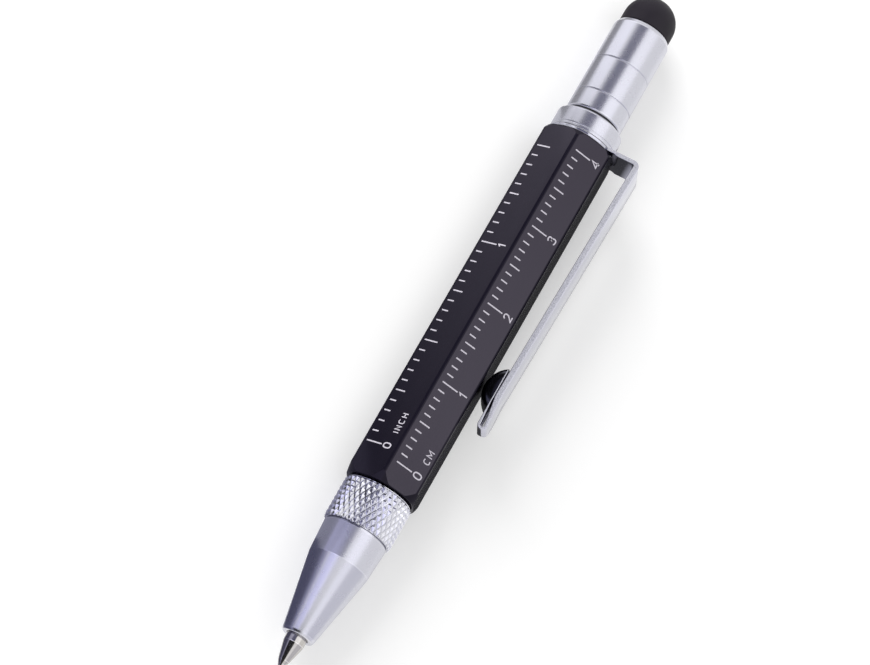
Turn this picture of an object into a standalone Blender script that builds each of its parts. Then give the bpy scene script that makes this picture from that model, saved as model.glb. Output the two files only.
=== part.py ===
"""Multi tool pen, modelled piece by piece.

A hexagonal barrel holds a twist mechanism for a short ballpoint refill in front and a
reversible screwdriver bit behind. A knurled ring turns the mechanism, a screw cap with
a rubber stylus dome covers the bit, a folded spring clip hangs from a ring under the
collar, and a small spirit level lies in one flat.

Frame: +X runs along the pen towards the stylus and +Z out of the metric rule's face.
The pen rests on the flat opposite to that face, and X is zero at mid-barrel. Each
piece is modelled about a local Z axis, whose stations count from the writing ball.
"""

import math

import bmesh
import bpy
from mathutils import Matrix, Vector

# Clearances and cutter overrun, in metres like every size below
FIT_GAP = 0.0001
SEAT_GAP = 0.00005
OVERRUN = 0.0005
WELD_DISTANCE = 0.000001

# Planes and turns: how a flat outline or the whole pen is set
PEN_TURN = Matrix.Rotation(math.pi, 4, Vector((1, 0, 1)))
SIDE_PLANE = Matrix.Rotation(math.pi / 2, 4, "X")
PLAN_PLANE = Matrix(((0, 0, 1, 0), (1, 0, 0, 0), (0, 1, 0, 0), (0, 0, 0, 1)))

# Facets of the turned pieces
ROUND_STEPS = 32
SMALL_ROUND_STEPS = 20
ROUND_END_SEGMENTS = 12
SHARP_ANGLE = math.radians(30)

# Hexagonal barrel: flats, rounded corners and turned end chamfers
HEX_ACROSS_FLATS = 0.0079
HEX_CORNER_RADIUS = 0.0005
HEX_CORNER_SEGMENTS = 3
BARREL_LENGTH = 0.04485
END_CHAMFER_DEPTH = 0.0004
END_CHAMFER_LENGTH = 0.00095
BORE_STEP_DEPTH = 0.0222

# Faces of the hexagon, as turns about the pen from the metric rule's face
CLIP_FACE_TURN = math.radians(60)
LEVEL_FACE_TURN = math.radians(120)

# Nose cone
POINT_REACH = 0.0036
NOSE_LENGTH = 0.0124
NOSE_TAPER_LENGTH = 0.0088
NOSE_MOUTH_RADIUS = 0.0018
NOSE_CREASE_RADIUS = 0.00341
NOSE_BASE_RADIUS = 0.00362
NOSE_LIP_RADIUS = 0.00025
NOSE_LIP_SEGMENTS = 3
NOSE_HOLE_CLEARANCE = 0.00005
NOSE_CHAMBER_CLEARANCE = 0.0003
NOSE_CHAMBER_TAPER = 0.0008

# Knurled ring with the threaded spigot that the nose screws onto
RING_LENGTH = 0.00515
RING_LIP_LENGTH = 0.00025
RING_LIP_RADIUS = 0.0037
KNURL_RADIUS = 0.0039
KNURL_DEPTH = 0.00024
KNURL_STARTS = 34
KNURL_ROWS = 8
SPIGOT_RADIUS = 0.0026
SPIGOT_LENGTH = 0.003
TWIST_GAP = 0.00015

# Refill: ball, nickel point and metal ink tube
BALL_RADIUS = 0.00032
BALL_SEAT_SEGMENTS = 6
POINT_RADIUS = 0.00115
POINT_CONE_LENGTH = 0.0028
POINT_RIM_RADIUS = 0.00028
POINT_RIM_WALL = 0.00005
POINT_LENGTH = 0.0085
POINT_TAIL_LENGTH = 0.002
INK_BORE_RADIUS = 0.0002
REFILL_RADIUS = 0.001175
REFILL_WALL = 0.0002

# Twist mechanism: drive tube, carrier, cam pin, cam sleeve, bush and washer
DRIVE_TUBE_WALL = 0.000225
DRIVE_HEAD_WALL = 0.0004
DRIVE_HEAD_FLOOR = 0.0004
DRIVE_TUBE_INSET = 0.0003
BUSH_WALL = 0.0005
BUSH_LENGTH = 0.003
WASHER_THICKNESS = 0.0004
CARRIER_WALL = 0.000275
CARRIER_SOCKET_DEPTH = 0.0025
CARRIER_PLUG_LENGTH = 0.003
CAM_PIN_RADIUS = 0.0004
CAM_SLEEVE_WALL = 0.00075
CAM_RIM = 0.0035
CAM_SLOT_CLEARANCE = 0.00015
CAM_SLOT_STEPS = 24
RETRACT_TRAVEL = 0.0048
TWIST_ANGLE = math.radians(160)

# Spirit level in the wall of one flat
LEVEL_FLOOR = 0.00025
LEVEL_SINK = 0.00015
LEVEL_WALL = 0.00028
LEVEL_LENGTH = 0.010
LEVEL_PLUG_HEAD = 0.0004
LEVEL_PLUG_DEPTH = 0.001
LEVEL_SETBACK = 0.007

# Collar, its neck for the cap and the bit socket pressed into it
COLLAR_LENGTH = 0.00235
COLLAR_RADIUS = 0.00385
COLLAR_CHAMFER_DEPTH = 0.00017
COLLAR_CHAMFER_LENGTH = 0.0002
COLLAR_GROOVE_SETBACK = 0.0004
COLLAR_WALL = 0.00035
NECK_LENGTH = 0.0032
SOCKET_ROOM = 0.001
SOCKET_FLOOR = 0.0008
SOCKET_WALL = 0.00034

# Groove turned into the collar and the cap
GROOVE_WIDTH = 0.00015
GROOVE_DEPTH = 0.00012

# Reversible bit: slot blade in front, cross point behind
BIT_ACROSS_FLATS = 0.003
BIT_SHANK_RADIUS = 0.00125
BIT_SHANK_LENGTH = 0.0024
BIT_POINT_LENGTH = 0.0042
BIT_CHAMFER_LENGTH = 0.0006
BIT_TIP_RADIUS = 0.0004
BIT_TIP_LENGTH = 0.0009
BLADE_THICKNESS = 0.0005
BLADE_TAPER = math.radians(24)
FLUTE_WEB = 0.0006
FLUTE_TAPER = math.radians(12)
FLUTE_COUNT = 4

# Stylus cap, its sealing washer, rubber dome and the plug that holds the dome
CAP_GAP = 0.0003
CAP_LENGTH = 0.0121
CAP_RADIUS = 0.0033
CAP_TOP_CHAMFER_DEPTH = 0.00024
CAP_TOP_CHAMFER_LENGTH = 0.0005
CAP_EDGE = 0.0001
CAP_LOWER_GROOVE_SETBACK = 0.0025
CAP_UPPER_GROOVE_SETBACK = 0.0068
CAP_LEDGE_DEPTH = 0.0024
SEAL_RADIUS = 0.0032
DOME_RADIUS = 0.003
DOME_BAND = 0.0013
DOME_WALL = 0.0006
DOME_ARC_SEGMENTS = 8
SKIRT_RADIUS = 0.00235
SKIRT_WALL = 0.00045
SKIRT_LENGTH = 0.002
HOLDER_FLANGE = 0.0006
BIT_TIP_ROOM = 0.0002

# Folded spring clip: heights count from the flat below it, to the outer surface
CLIP_THICKNESS = 0.00035
CLIP_WIDTH = 0.0049
CLIP_LENGTH = 0.0343
CLIP_RISE_TOP = 0.00332
CLIP_RISE_LOW = 0.00258
CLIP_RISE_END = 0.00282
CLIP_LOW_SETBACK = 0.0039
CLIP_BEND_RADIUS = 0.0008
CLIP_BEND_SEGMENTS = 6
CLIP_FOLD_RADIUS = 0.00026
CLIP_FOLD_SEGMENTS = 8
CLIP_END_CORNER = 0.0013
CLIP_TRIM_MARGIN = 0.00003
CLIP_NUB_LENGTH = 0.0051
CLIP_NUB_SETBACK = 0.0017
CLIP_NUB_SEGMENTS = 10
CLIP_TAB_REACH = 0.0009
CLIP_SPLIT_GAP = 0.0001
CLIP_RING_RADIUS = 0.0039
CLIP_RING_SEGMENTS = 40

# Radii that follow from the sizes above, from the axis outwards
HEX_APOTHEM = HEX_ACROSS_FLATS / 2
HEX_CORNER_REACH = HEX_APOTHEM / math.cos(math.pi / 6)
HEX_ROUNDED_REACH = HEX_CORNER_REACH - HEX_CORNER_RADIUS * (1 / math.cos(math.pi / 6) - 1)
DRIVE_TUBE_BORE = REFILL_RADIUS + FIT_GAP
DRIVE_TUBE_RADIUS = DRIVE_TUBE_BORE + DRIVE_TUBE_WALL
RUNNING_BORE = DRIVE_TUBE_RADIUS + FIT_GAP
BUSH_RADIUS = RUNNING_BORE + BUSH_WALL
CARRIER_BORE = REFILL_RADIUS + FIT_GAP
CARRIER_RADIUS = CARRIER_BORE + CARRIER_WALL
DRIVE_HEAD_BORE = CARRIER_RADIUS + FIT_GAP
DRIVE_HEAD_RADIUS = DRIVE_HEAD_BORE + DRIVE_HEAD_WALL
CAM_SLEEVE_BORE = DRIVE_HEAD_RADIUS + FIT_GAP
CAM_SLEEVE_RADIUS = CAM_SLEEVE_BORE + CAM_SLEEVE_WALL
MECHANISM_BORE = CAM_SLEEVE_RADIUS + FIT_GAP
NOSE_HOLE_RADIUS = REFILL_RADIUS + NOSE_HOLE_CLEARANCE
NOSE_CHAMBER_RADIUS = REFILL_RADIUS + NOSE_CHAMBER_CLEARANCE
BIT_CORNER_REACH = BIT_ACROSS_FLATS / 2 / math.cos(math.pi / 6)
SOCKET_ACROSS_FLATS = BIT_ACROSS_FLATS + 2 * FIT_GAP
SOCKET_CORNER_REACH = SOCKET_ACROSS_FLATS / 2 / math.cos(math.pi / 6)
SOCKET_RADIUS = SOCKET_CORNER_REACH + SOCKET_WALL
COLLAR_BORE = SOCKET_RADIUS + FIT_GAP
NECK_RADIUS = COLLAR_BORE + COLLAR_WALL
CAP_BORE = NECK_RADIUS + FIT_GAP
CAP_LEDGE_BORE = SKIRT_RADIUS + FIT_GAP
CLIP_RING_BORE = CAM_SLEEVE_RADIUS + FIT_GAP
LEVEL_RADIUS = (HEX_APOTHEM - LEVEL_SINK - RUNNING_BORE - LEVEL_FLOOR - SEAT_GAP) / 2

# Stations along the pen, from the writing ball
NOSE_MOUTH = POINT_REACH
NOSE_BASE = NOSE_MOUTH + NOSE_LENGTH
RING_FRONT = NOSE_BASE + SEAT_GAP
SPIGOT_FRONT = RING_FRONT - SPIGOT_LENGTH
RING_BACK = RING_FRONT + RING_LENGTH
BARREL_FRONT = RING_BACK + TWIST_GAP
BARREL_BACK = BARREL_FRONT + BARREL_LENGTH
BORE_STEP = BARREL_FRONT + BORE_STEP_DEPTH
WASHER_BACK = BORE_STEP + SEAT_GAP + WASHER_THICKNESS
DRIVE_HEAD_FRONT = WASHER_BACK + SEAT_GAP
CARRIER_FRONT = DRIVE_HEAD_FRONT + DRIVE_HEAD_FLOOR + SEAT_GAP
REFILL_BACK = CARRIER_FRONT + CARRIER_SOCKET_DEPTH
CARRIER_BACK = REFILL_BACK + CARRIER_PLUG_LENGTH
CAM_PIN_STATION = (REFILL_BACK + CARRIER_BACK) / 2
CAM_FRONT = WASHER_BACK + SEAT_GAP
CAM_BACK = CAM_PIN_STATION + RETRACT_TRAVEL + CAM_RIM
CLIP_RING_FRONT = BARREL_BACK + SEAT_GAP
CLIP_RING_BACK = CLIP_RING_FRONT + CLIP_THICKNESS
COLLAR_FRONT = CLIP_RING_BACK + SEAT_GAP
COLLAR_BACK = COLLAR_FRONT + COLLAR_LENGTH
NECK_BACK = COLLAR_BACK + NECK_LENGTH
CAP_FRONT = COLLAR_BACK + CAP_GAP
CAP_BACK = CAP_FRONT + CAP_LENGTH
CAP_LEDGE = CAP_BACK - CAP_LEDGE_DEPTH
HOLDER_FRONT = CAP_LEDGE - SEAT_GAP - HOLDER_FLANGE
DOME_BASE = CAP_BACK + SEAT_GAP
DOME_CENTRE = DOME_BASE + DOME_BAND
SOCKET_FRONT = CAM_BACK + SOCKET_ROOM
BIT_FRONT = SOCKET_FRONT + SOCKET_FLOOR + SEAT_GAP
BIT_HEX_FRONT = BIT_FRONT + BIT_SHANK_LENGTH
BIT_BACK = HOLDER_FRONT - BIT_TIP_ROOM
BIT_HEX_BACK = BIT_BACK - BIT_POINT_LENGTH
LEVEL_FRONT = BARREL_FRONT + LEVEL_SETBACK
LEVEL_BACK = LEVEL_FRONT + LEVEL_LENGTH
MID_BARREL = (BARREL_FRONT + BARREL_BACK) / 2


def add_collection(name):
    """Make a collection in the scene."""
    collection = bpy.data.collections.new(name)
    bpy.context.scene.collection.children.link(collection)
    return collection


def add_finish(name, colour, roughness, metallic):
    """Make a material with one Principled shader."""
    material = bpy.data.materials.new(name)
    material.use_nodes = True
    shader = material.node_tree.nodes["Principled BSDF"]
    shader.inputs["Base Color"].default_value = (*colour, 1)
    shader.inputs["Roughness"].default_value = roughness
    shader.inputs["Metallic"].default_value = metallic
    return material


def add_object(name, mesh, parent, finish=None):
    """Put a mesh in the scene: a piece when it has a finish, otherwise a cutter."""
    item = bpy.data.objects.new(name, mesh)
    item.parent = parent
    if finish:
        mesh.materials.append(finish)
        PIECES.objects.link(item)
    else:
        item.hide_render = True
        item.display_type = "WIRE"
        CUTTERS.objects.link(item)
    return item


def add_axis(name, parent=None):
    """Make an empty that carries one moving group."""
    axis = bpy.data.objects.new(name, None)
    axis.parent = parent
    axis.empty_display_size = HEX_ACROSS_FLATS
    PIECES.objects.link(axis)
    return axis


def arc(centre, radius, start, end, segments):
    """Return points along an arc, both ends included."""
    turns = [start + (end - start) * step / segments for step in range(segments + 1)]
    return [(centre[0] + radius * math.cos(turn), centre[1] + radius * math.sin(turn)) for turn in turns]


def groove(radius, station):
    """Return the outline of a square groove, from its back edge to its front edge."""
    back = station + GROOVE_WIDTH / 2
    front = station - GROOVE_WIDTH / 2
    floor = radius - GROOVE_DEPTH
    return [(radius, back), (floor, back), (floor, front), (radius, front)]


def turn(name, outline, parent, finish=None, steps=ROUND_STEPS):
    """Turn an outline of (radius, station) points, given down its outer side."""
    mesh = bpy.data.meshes.new(name)
    edges = [(index, index + 1) for index in range(len(outline) - 1)]
    if outline[0][0] > WELD_DISTANCE:
        edges.append((len(outline) - 1, 0))
    mesh.from_pydata([(radius, 0, station) for radius, station in outline], edges, [])
    item = add_object(name, mesh, parent, finish)
    screw = item.modifiers.new("Turn", "SCREW")
    screw.steps = steps
    screw.render_steps = steps
    screw.use_merge_vertices = True
    screw.merge_threshold = WELD_DISTANCE
    return item


def add_tube(name, bore, radius, front, back, parent, finish):
    """Turn a plain tube between two stations."""
    outline = [(radius, back), (radius, front), (bore, front), (bore, back)]
    return turn(name, outline, parent, finish)


def add_rod(name, radius, front, back, parent, finish=None, steps=ROUND_STEPS):
    """Turn a plain rod between two stations."""
    outline = [(0, back), (radius, back), (radius, front), (0, front)]
    return turn(name, outline, parent, finish, steps)


def mesh_of(name, bm):
    """Move a bmesh into a new mesh."""
    bmesh.ops.recalc_face_normals(bm, faces=bm.faces)
    mesh = bpy.data.meshes.new(name)
    bm.to_mesh(mesh)
    bm.free()
    return mesh


def add_hexagon(name, across_flats, front, back, parent, finish=None):
    """Make a six-sided bar with one flat facing local +X."""
    reach = across_flats / 2 / math.cos(math.pi / 6)
    bm = bmesh.new()
    centre = Matrix.Translation((0, 0, (front + back) / 2))
    bmesh.ops.create_cone(bm, cap_ends=True, segments=6, radius1=reach, radius2=reach,
                          depth=back - front, matrix=centre)
    weight = bm.edges.layers.float.new("bevel_weight_edge")
    for edge in bm.edges:
        along = edge.verts[0].co - edge.verts[1].co
        edge[weight] = 1.0 if abs(along.z) > 0 else 0.0
    return add_object(name, mesh_of(name, bm), parent, finish)


def add_block(name, low, high, parent):
    """Make a box-shaped cutter between two corners."""
    bm = bmesh.new()
    size = Vector(high) - Vector(low)
    middle = (Vector(high) + Vector(low)) / 2
    place = Matrix.Translation(middle) @ Matrix.Diagonal((*size, 1))
    bmesh.ops.create_cube(bm, size=1, matrix=place)
    return add_object(name, mesh_of(name, bm), parent)


def add_plate(name, outlines, depth, place, parent, finish=None):
    """Extrude flat outlines by a depth about their plane, then set them in place."""
    curve = bpy.data.curves.new(name, "CURVE")
    curve.dimensions = "2D"
    curve.fill_mode = "BOTH"
    curve.extrude = depth / 2
    for outline in outlines:
        spline = curve.splines.new("POLY")
        spline.points.add(len(outline) - 1)
        for point, (across, along) in zip(spline.points, outline):
            point.co = (across, along, 0, 1)
        spline.use_cyclic_u = True
    mesh = mesh_from_curve(name, curve)
    mesh.transform(place)
    return add_object(name, mesh, parent, finish)


def mesh_from_curve(name, curve):
    """Turn a filled curve into a closed mesh, and remove the curve."""
    guide = bpy.data.objects.new(name, curve)
    bpy.context.scene.collection.objects.link(guide)
    graph = bpy.context.evaluated_depsgraph_get()
    mesh = bpy.data.meshes.new_from_object(guide.evaluated_get(graph))
    bpy.data.objects.remove(guide)
    bpy.data.curves.remove(curve)
    bm = bmesh.new()
    bm.from_mesh(mesh)
    bpy.data.meshes.remove(mesh)
    bmesh.ops.remove_doubles(bm, verts=bm.verts, dist=WELD_DISTANCE)
    return mesh_of(name, bm)


def shape(item, operation, other):
    """Cut, join or intersect a piece with another object."""
    boolean = item.modifiers.new(other.name, "BOOLEAN")
    boolean.operation = operation
    boolean.object = other


def build_barrel(axis, lacquer):
    """Make the hexagonal barrel: rounded corners, turned ends, bores and level pocket."""
    barrel = add_hexagon("hex_barrel", HEX_ACROSS_FLATS, BARREL_FRONT, BARREL_BACK, axis, lacquer)
    corners = barrel.modifiers.new("Rounded corners", "BEVEL")
    corners.limit_method = "WEIGHT"
    corners.width = HEX_CORNER_RADIUS * math.tan(math.pi / 6)
    corners.segments = HEX_CORNER_SEGMENTS

    blank_radius = HEX_ROUNDED_REACH + OVERRUN
    end_radius = HEX_ROUNDED_REACH - END_CHAMFER_DEPTH
    slope_length = END_CHAMFER_LENGTH * (blank_radius - end_radius) / END_CHAMFER_DEPTH
    blank = turn("barrel_blank", [
        (0, BARREL_BACK), (end_radius, BARREL_BACK), (blank_radius, BARREL_BACK - slope_length),
        (blank_radius, BARREL_FRONT + slope_length), (end_radius, BARREL_FRONT), (0, BARREL_FRONT),
    ], axis, steps=2 * ROUND_STEPS)
    shape(barrel, "INTERSECT", blank)

    counterbore = BUSH_RADIUS + FIT_GAP
    counterbore_back = BARREL_FRONT + BUSH_LENGTH + 2 * SEAT_GAP
    bore = turn("barrel_bore", [
        (0, BARREL_BACK + OVERRUN), (MECHANISM_BORE, BARREL_BACK + OVERRUN),
        (MECHANISM_BORE, BORE_STEP), (RUNNING_BORE, BORE_STEP), (RUNNING_BORE, counterbore_back),
        (counterbore, counterbore_back), (counterbore, BARREL_FRONT - OVERRUN),
        (0, BARREL_FRONT - OVERRUN),
    ], axis)
    shape(barrel, "DIFFERENCE", bore)
    shape(barrel, "DIFFERENCE", build_level_pocket(axis))


def build_level_pocket(axis):
    """Make the cutter for the round-ended pocket that holds the level."""
    half_width = LEVEL_RADIUS + FIT_GAP
    head = LEVEL_PLUG_HEAD + 2 * SEAT_GAP
    front = LEVEL_FRONT - head
    back = LEVEL_BACK + head
    outline = (arc((0, back), half_width, 0, math.pi, ROUND_END_SEGMENTS)
               + arc((0, front), half_width, math.pi, 2 * math.pi, ROUND_END_SEGMENTS))
    low = RUNNING_BORE + LEVEL_FLOOR
    high = HEX_APOTHEM + OVERRUN
    place = Matrix.Translation(((low + high) / 2, 0, 0)) @ PLAN_PLANE
    pocket = add_plate("level_pocket", [outline], high - low, place, axis)
    pocket.rotation_euler.z = LEVEL_FACE_TURN
    return pocket


def build_level(axis, clear, seal):
    """Make the level's clear tube and its two end plugs."""
    height = HEX_APOTHEM - LEVEL_SINK - LEVEL_RADIUS
    seat = add_axis("level_axis", axis)
    seat.location = (height * math.cos(LEVEL_FACE_TURN), height * math.sin(LEVEL_FACE_TURN), 0)
    bore = LEVEL_RADIUS - LEVEL_WALL
    turn("level_vial", [
        (LEVEL_RADIUS, LEVEL_BACK), (LEVEL_RADIUS, LEVEL_FRONT), (bore, LEVEL_FRONT), (bore, LEVEL_BACK),
    ], seat, clear, SMALL_ROUND_STEPS)
    for name, face, outward in (("level_plug_front", LEVEL_FRONT, -1), ("level_plug_rear", LEVEL_BACK, 1)):
        shoulder = face + outward * SEAT_GAP
        head_end = shoulder + outward * LEVEL_PLUG_HEAD
        tail_end = face - outward * LEVEL_PLUG_DEPTH
        tail_radius = bore - FIT_GAP / 2
        outline = [(0, head_end), (LEVEL_RADIUS, head_end), (LEVEL_RADIUS, shoulder),
                   (tail_radius, shoulder), (tail_radius, tail_end), (0, tail_end)]
        turn(name, outline if outward > 0 else outline[::-1], seat, seal, SMALL_ROUND_STEPS)


def build_collar(axis, satin):
    """Make the collar: its ring, the spigot in the barrel and the neck for the cap."""
    top_radius = COLLAR_RADIUS - COLLAR_CHAMFER_DEPTH
    return turn("top_collar", [
        (NECK_RADIUS, NECK_BACK), (NECK_RADIUS, COLLAR_BACK), (top_radius, COLLAR_BACK),
        (COLLAR_RADIUS, COLLAR_BACK - COLLAR_CHAMFER_LENGTH),
        *groove(COLLAR_RADIUS, COLLAR_FRONT + COLLAR_GROOVE_SETBACK),
        (COLLAR_RADIUS, COLLAR_FRONT), (CAM_SLEEVE_RADIUS, COLLAR_FRONT),
        (CAM_SLEEVE_RADIUS, CAM_BACK + SEAT_GAP), (COLLAR_BORE, CAM_BACK + SEAT_GAP),
        (COLLAR_BORE, NECK_BACK),
    ], axis, satin)


def build_bit_socket(axis, steel):
    """Make the hexagonal socket for the reversible bit."""
    socket = add_rod("bit_socket", SOCKET_RADIUS, SOCKET_FRONT, NECK_BACK, axis, steel)
    shank_bore = add_rod("socket_shank_bore", BIT_SHANK_RADIUS + FIT_GAP,
                         SOCKET_FRONT + SOCKET_FLOOR, NECK_BACK + OVERRUN, axis)
    shape(socket, "DIFFERENCE", shank_bore)
    hex_bore = add_hexagon("socket_hex_bore", SOCKET_ACROSS_FLATS, BIT_HEX_FRONT - SEAT_GAP,
                           NECK_BACK + OVERRUN, axis)
    shape(socket, "DIFFERENCE", hex_bore)


def build_cam_sleeve(axis, brass):
    """Make the fixed sleeve whose helical slot moves the cam pin."""
    sleeve = add_tube("cam_sleeve", CAM_SLEEVE_BORE, CAM_SLEEVE_RADIUS, CAM_FRONT, CAM_BACK, axis, brass)
    width = 2 * (CAM_PIN_RADIUS + CAM_SLOT_CLEARANCE)
    middle = (CAM_SLEEVE_BORE + CAM_SLEEVE_RADIUS) / 2
    path_length = math.hypot(middle * TWIST_ANGLE, RETRACT_TRAVEL)
    run_on = width / 2 / path_length

    curve = bpy.data.curves.new("cam_slot", "CURVE")
    curve.dimensions = "3D"
    curve.twist_mode = "Z_UP"
    curve.bevel_depth = width / math.sqrt(2)
    curve.bevel_resolution = 0
    curve.use_fill_caps = True
    spline = curve.splines.new("POLY")
    spline.points.add(CAM_SLOT_STEPS)
    for step, point in enumerate(spline.points):
        share = (1 + 2 * run_on) * step / CAM_SLOT_STEPS - run_on
        angle = -TWIST_ANGLE * share
        station = CAM_PIN_STATION + RETRACT_TRAVEL * share
        point.co = (middle * math.cos(angle), middle * math.sin(angle), station, 1)
        point.tilt = math.pi / 4
    slot = add_object("cam_slot", mesh_from_curve("cam_slot", curve), axis)
    shape(sleeve, "DIFFERENCE", slot)


def build_barrel_linings(axis, plastic, brass):
    """Make the front bush and the thrust washer that the drive tube turns in."""
    add_tube("front_bush", RUNNING_BORE, BUSH_RADIUS, BARREL_FRONT + SEAT_GAP,
             BARREL_FRONT + SEAT_GAP + BUSH_LENGTH, axis, plastic)
    add_tube("thrust_washer", RUNNING_BORE, CAM_SLEEVE_RADIUS, WASHER_BACK - WASHER_THICKNESS,
             WASHER_BACK, axis, brass)


def knurl_radius(column, row, last_row):
    """Return the surface radius at one point of the rolled grid."""
    if row in (0, last_row):
        return RING_LIP_RADIUS
    crest = (column + row) % 2 == 0 and row not in (1, last_row - 1)
    return KNURL_RADIUS if crest else KNURL_RADIUS - KNURL_DEPTH


def build_knurled_ring(axis, chrome):
    """Make the knurled ring by rolling a grid of pyramids, with its spigot and bore.

    Crests and groove crossings alternate on the grid. Each quad is split from crossing
    to crossing, which draws the two families of helical grooves.
    """
    columns = 2 * KNURL_STARTS
    knurl_front = RING_FRONT + RING_LIP_LENGTH
    pitch = (RING_LENGTH - 2 * RING_LIP_LENGTH) / KNURL_ROWS
    stations = [RING_FRONT, *(knurl_front + pitch * row for row in range(KNURL_ROWS + 1)), RING_BACK]
    last_row = len(stations) - 1

    bm = bmesh.new()
    bmesh.ops.create_grid(bm, x_segments=columns, y_segments=last_row, size=1)
    crossings = set()
    for vertex in bm.verts:
        column = round((vertex.co.x + 1) / 2 * columns)
        row = round((vertex.co.y + 1) / 2 * last_row)
        radius = knurl_radius(column, row, last_row)
        angle = 2 * math.pi * column / columns
        vertex.co = (radius * math.cos(angle), radius * math.sin(angle), stations[row])
        if (column + row) % 2:
            crossings.add(vertex)
    for face in list(bm.faces):
        first, second = (vertex for vertex in face.verts if vertex in crossings)
        bmesh.utils.face_split(face, first, second)
    bmesh.ops.remove_doubles(bm, verts=bm.verts, dist=WELD_DISTANCE)
    rims = [edge for edge in bm.edges if edge.is_boundary]
    bmesh.ops.holes_fill(bm, edges=rims, sides=0)
    ring = add_object("knurled_ring", mesh_of("knurled_ring", bm), axis, chrome)

    spigot = add_rod("ring_spigot", SPIGOT_RADIUS, SPIGOT_FRONT, RING_BACK - RING_LIP_LENGTH, axis)
    shape(ring, "UNION", spigot)
    bore = add_rod("ring_bore", RUNNING_BORE, SPIGOT_FRONT - OVERRUN, RING_BACK + OVERRUN, axis)
    shape(ring, "DIFFERENCE", bore)


def build_drive_tube(axis, steel):
    """Make the drive tube: a thin front, and a wide head with a straight slot."""
    tube = turn("drive_tube", [
        (DRIVE_HEAD_RADIUS, CAM_BACK), (DRIVE_HEAD_RADIUS, DRIVE_HEAD_FRONT),
        (DRIVE_TUBE_RADIUS, DRIVE_HEAD_FRONT), (DRIVE_TUBE_RADIUS, SPIGOT_FRONT + DRIVE_TUBE_INSET),
        (DRIVE_TUBE_BORE, SPIGOT_FRONT + DRIVE_TUBE_INSET),
        (DRIVE_TUBE_BORE, DRIVE_HEAD_FRONT + DRIVE_HEAD_FLOOR),
        (DRIVE_HEAD_BORE, DRIVE_HEAD_FRONT + DRIVE_HEAD_FLOOR), (DRIVE_HEAD_BORE, CAM_BACK),
    ], axis, steel)
    margin = CAM_PIN_RADIUS + FIT_GAP
    slot = add_block("drive_slot",
                     (0, -margin, CAM_PIN_STATION - margin),
                     (DRIVE_HEAD_RADIUS + OVERRUN, margin, CAM_PIN_STATION + RETRACT_TRAVEL + margin),
                     axis)
    shape(tube, "DIFFERENCE", slot)


def build_nose(axis, satin):
    """Make the nose cone that screws onto the ring's spigot."""
    crease = NOSE_MOUTH + NOSE_TAPER_LENGTH
    slope = math.atan2(NOSE_CREASE_RADIUS - NOSE_MOUTH_RADIUS, NOSE_TAPER_LENGTH)
    lip_centre = (NOSE_MOUTH_RADIUS - NOSE_LIP_RADIUS, NOSE_MOUTH + NOSE_LIP_RADIUS)
    lip = arc(lip_centre, NOSE_LIP_RADIUS, -slope, -math.pi / 2, NOSE_LIP_SEGMENTS)
    socket_radius = SPIGOT_RADIUS + FIT_GAP
    socket_front = SPIGOT_FRONT - SEAT_GAP
    turn("nose_cone", [
        (NOSE_BASE_RADIUS, NOSE_BASE), (NOSE_CREASE_RADIUS, crease), *lip,
        (NOSE_HOLE_RADIUS, NOSE_MOUTH), (NOSE_HOLE_RADIUS, NOSE_MOUTH + NOSE_CHAMBER_TAPER),
        (NOSE_CHAMBER_RADIUS, NOSE_MOUTH + 2 * NOSE_CHAMBER_TAPER),
        (NOSE_CHAMBER_RADIUS, socket_front), (socket_radius, socket_front), (socket_radius, NOSE_BASE),
    ], axis, satin)


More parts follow.
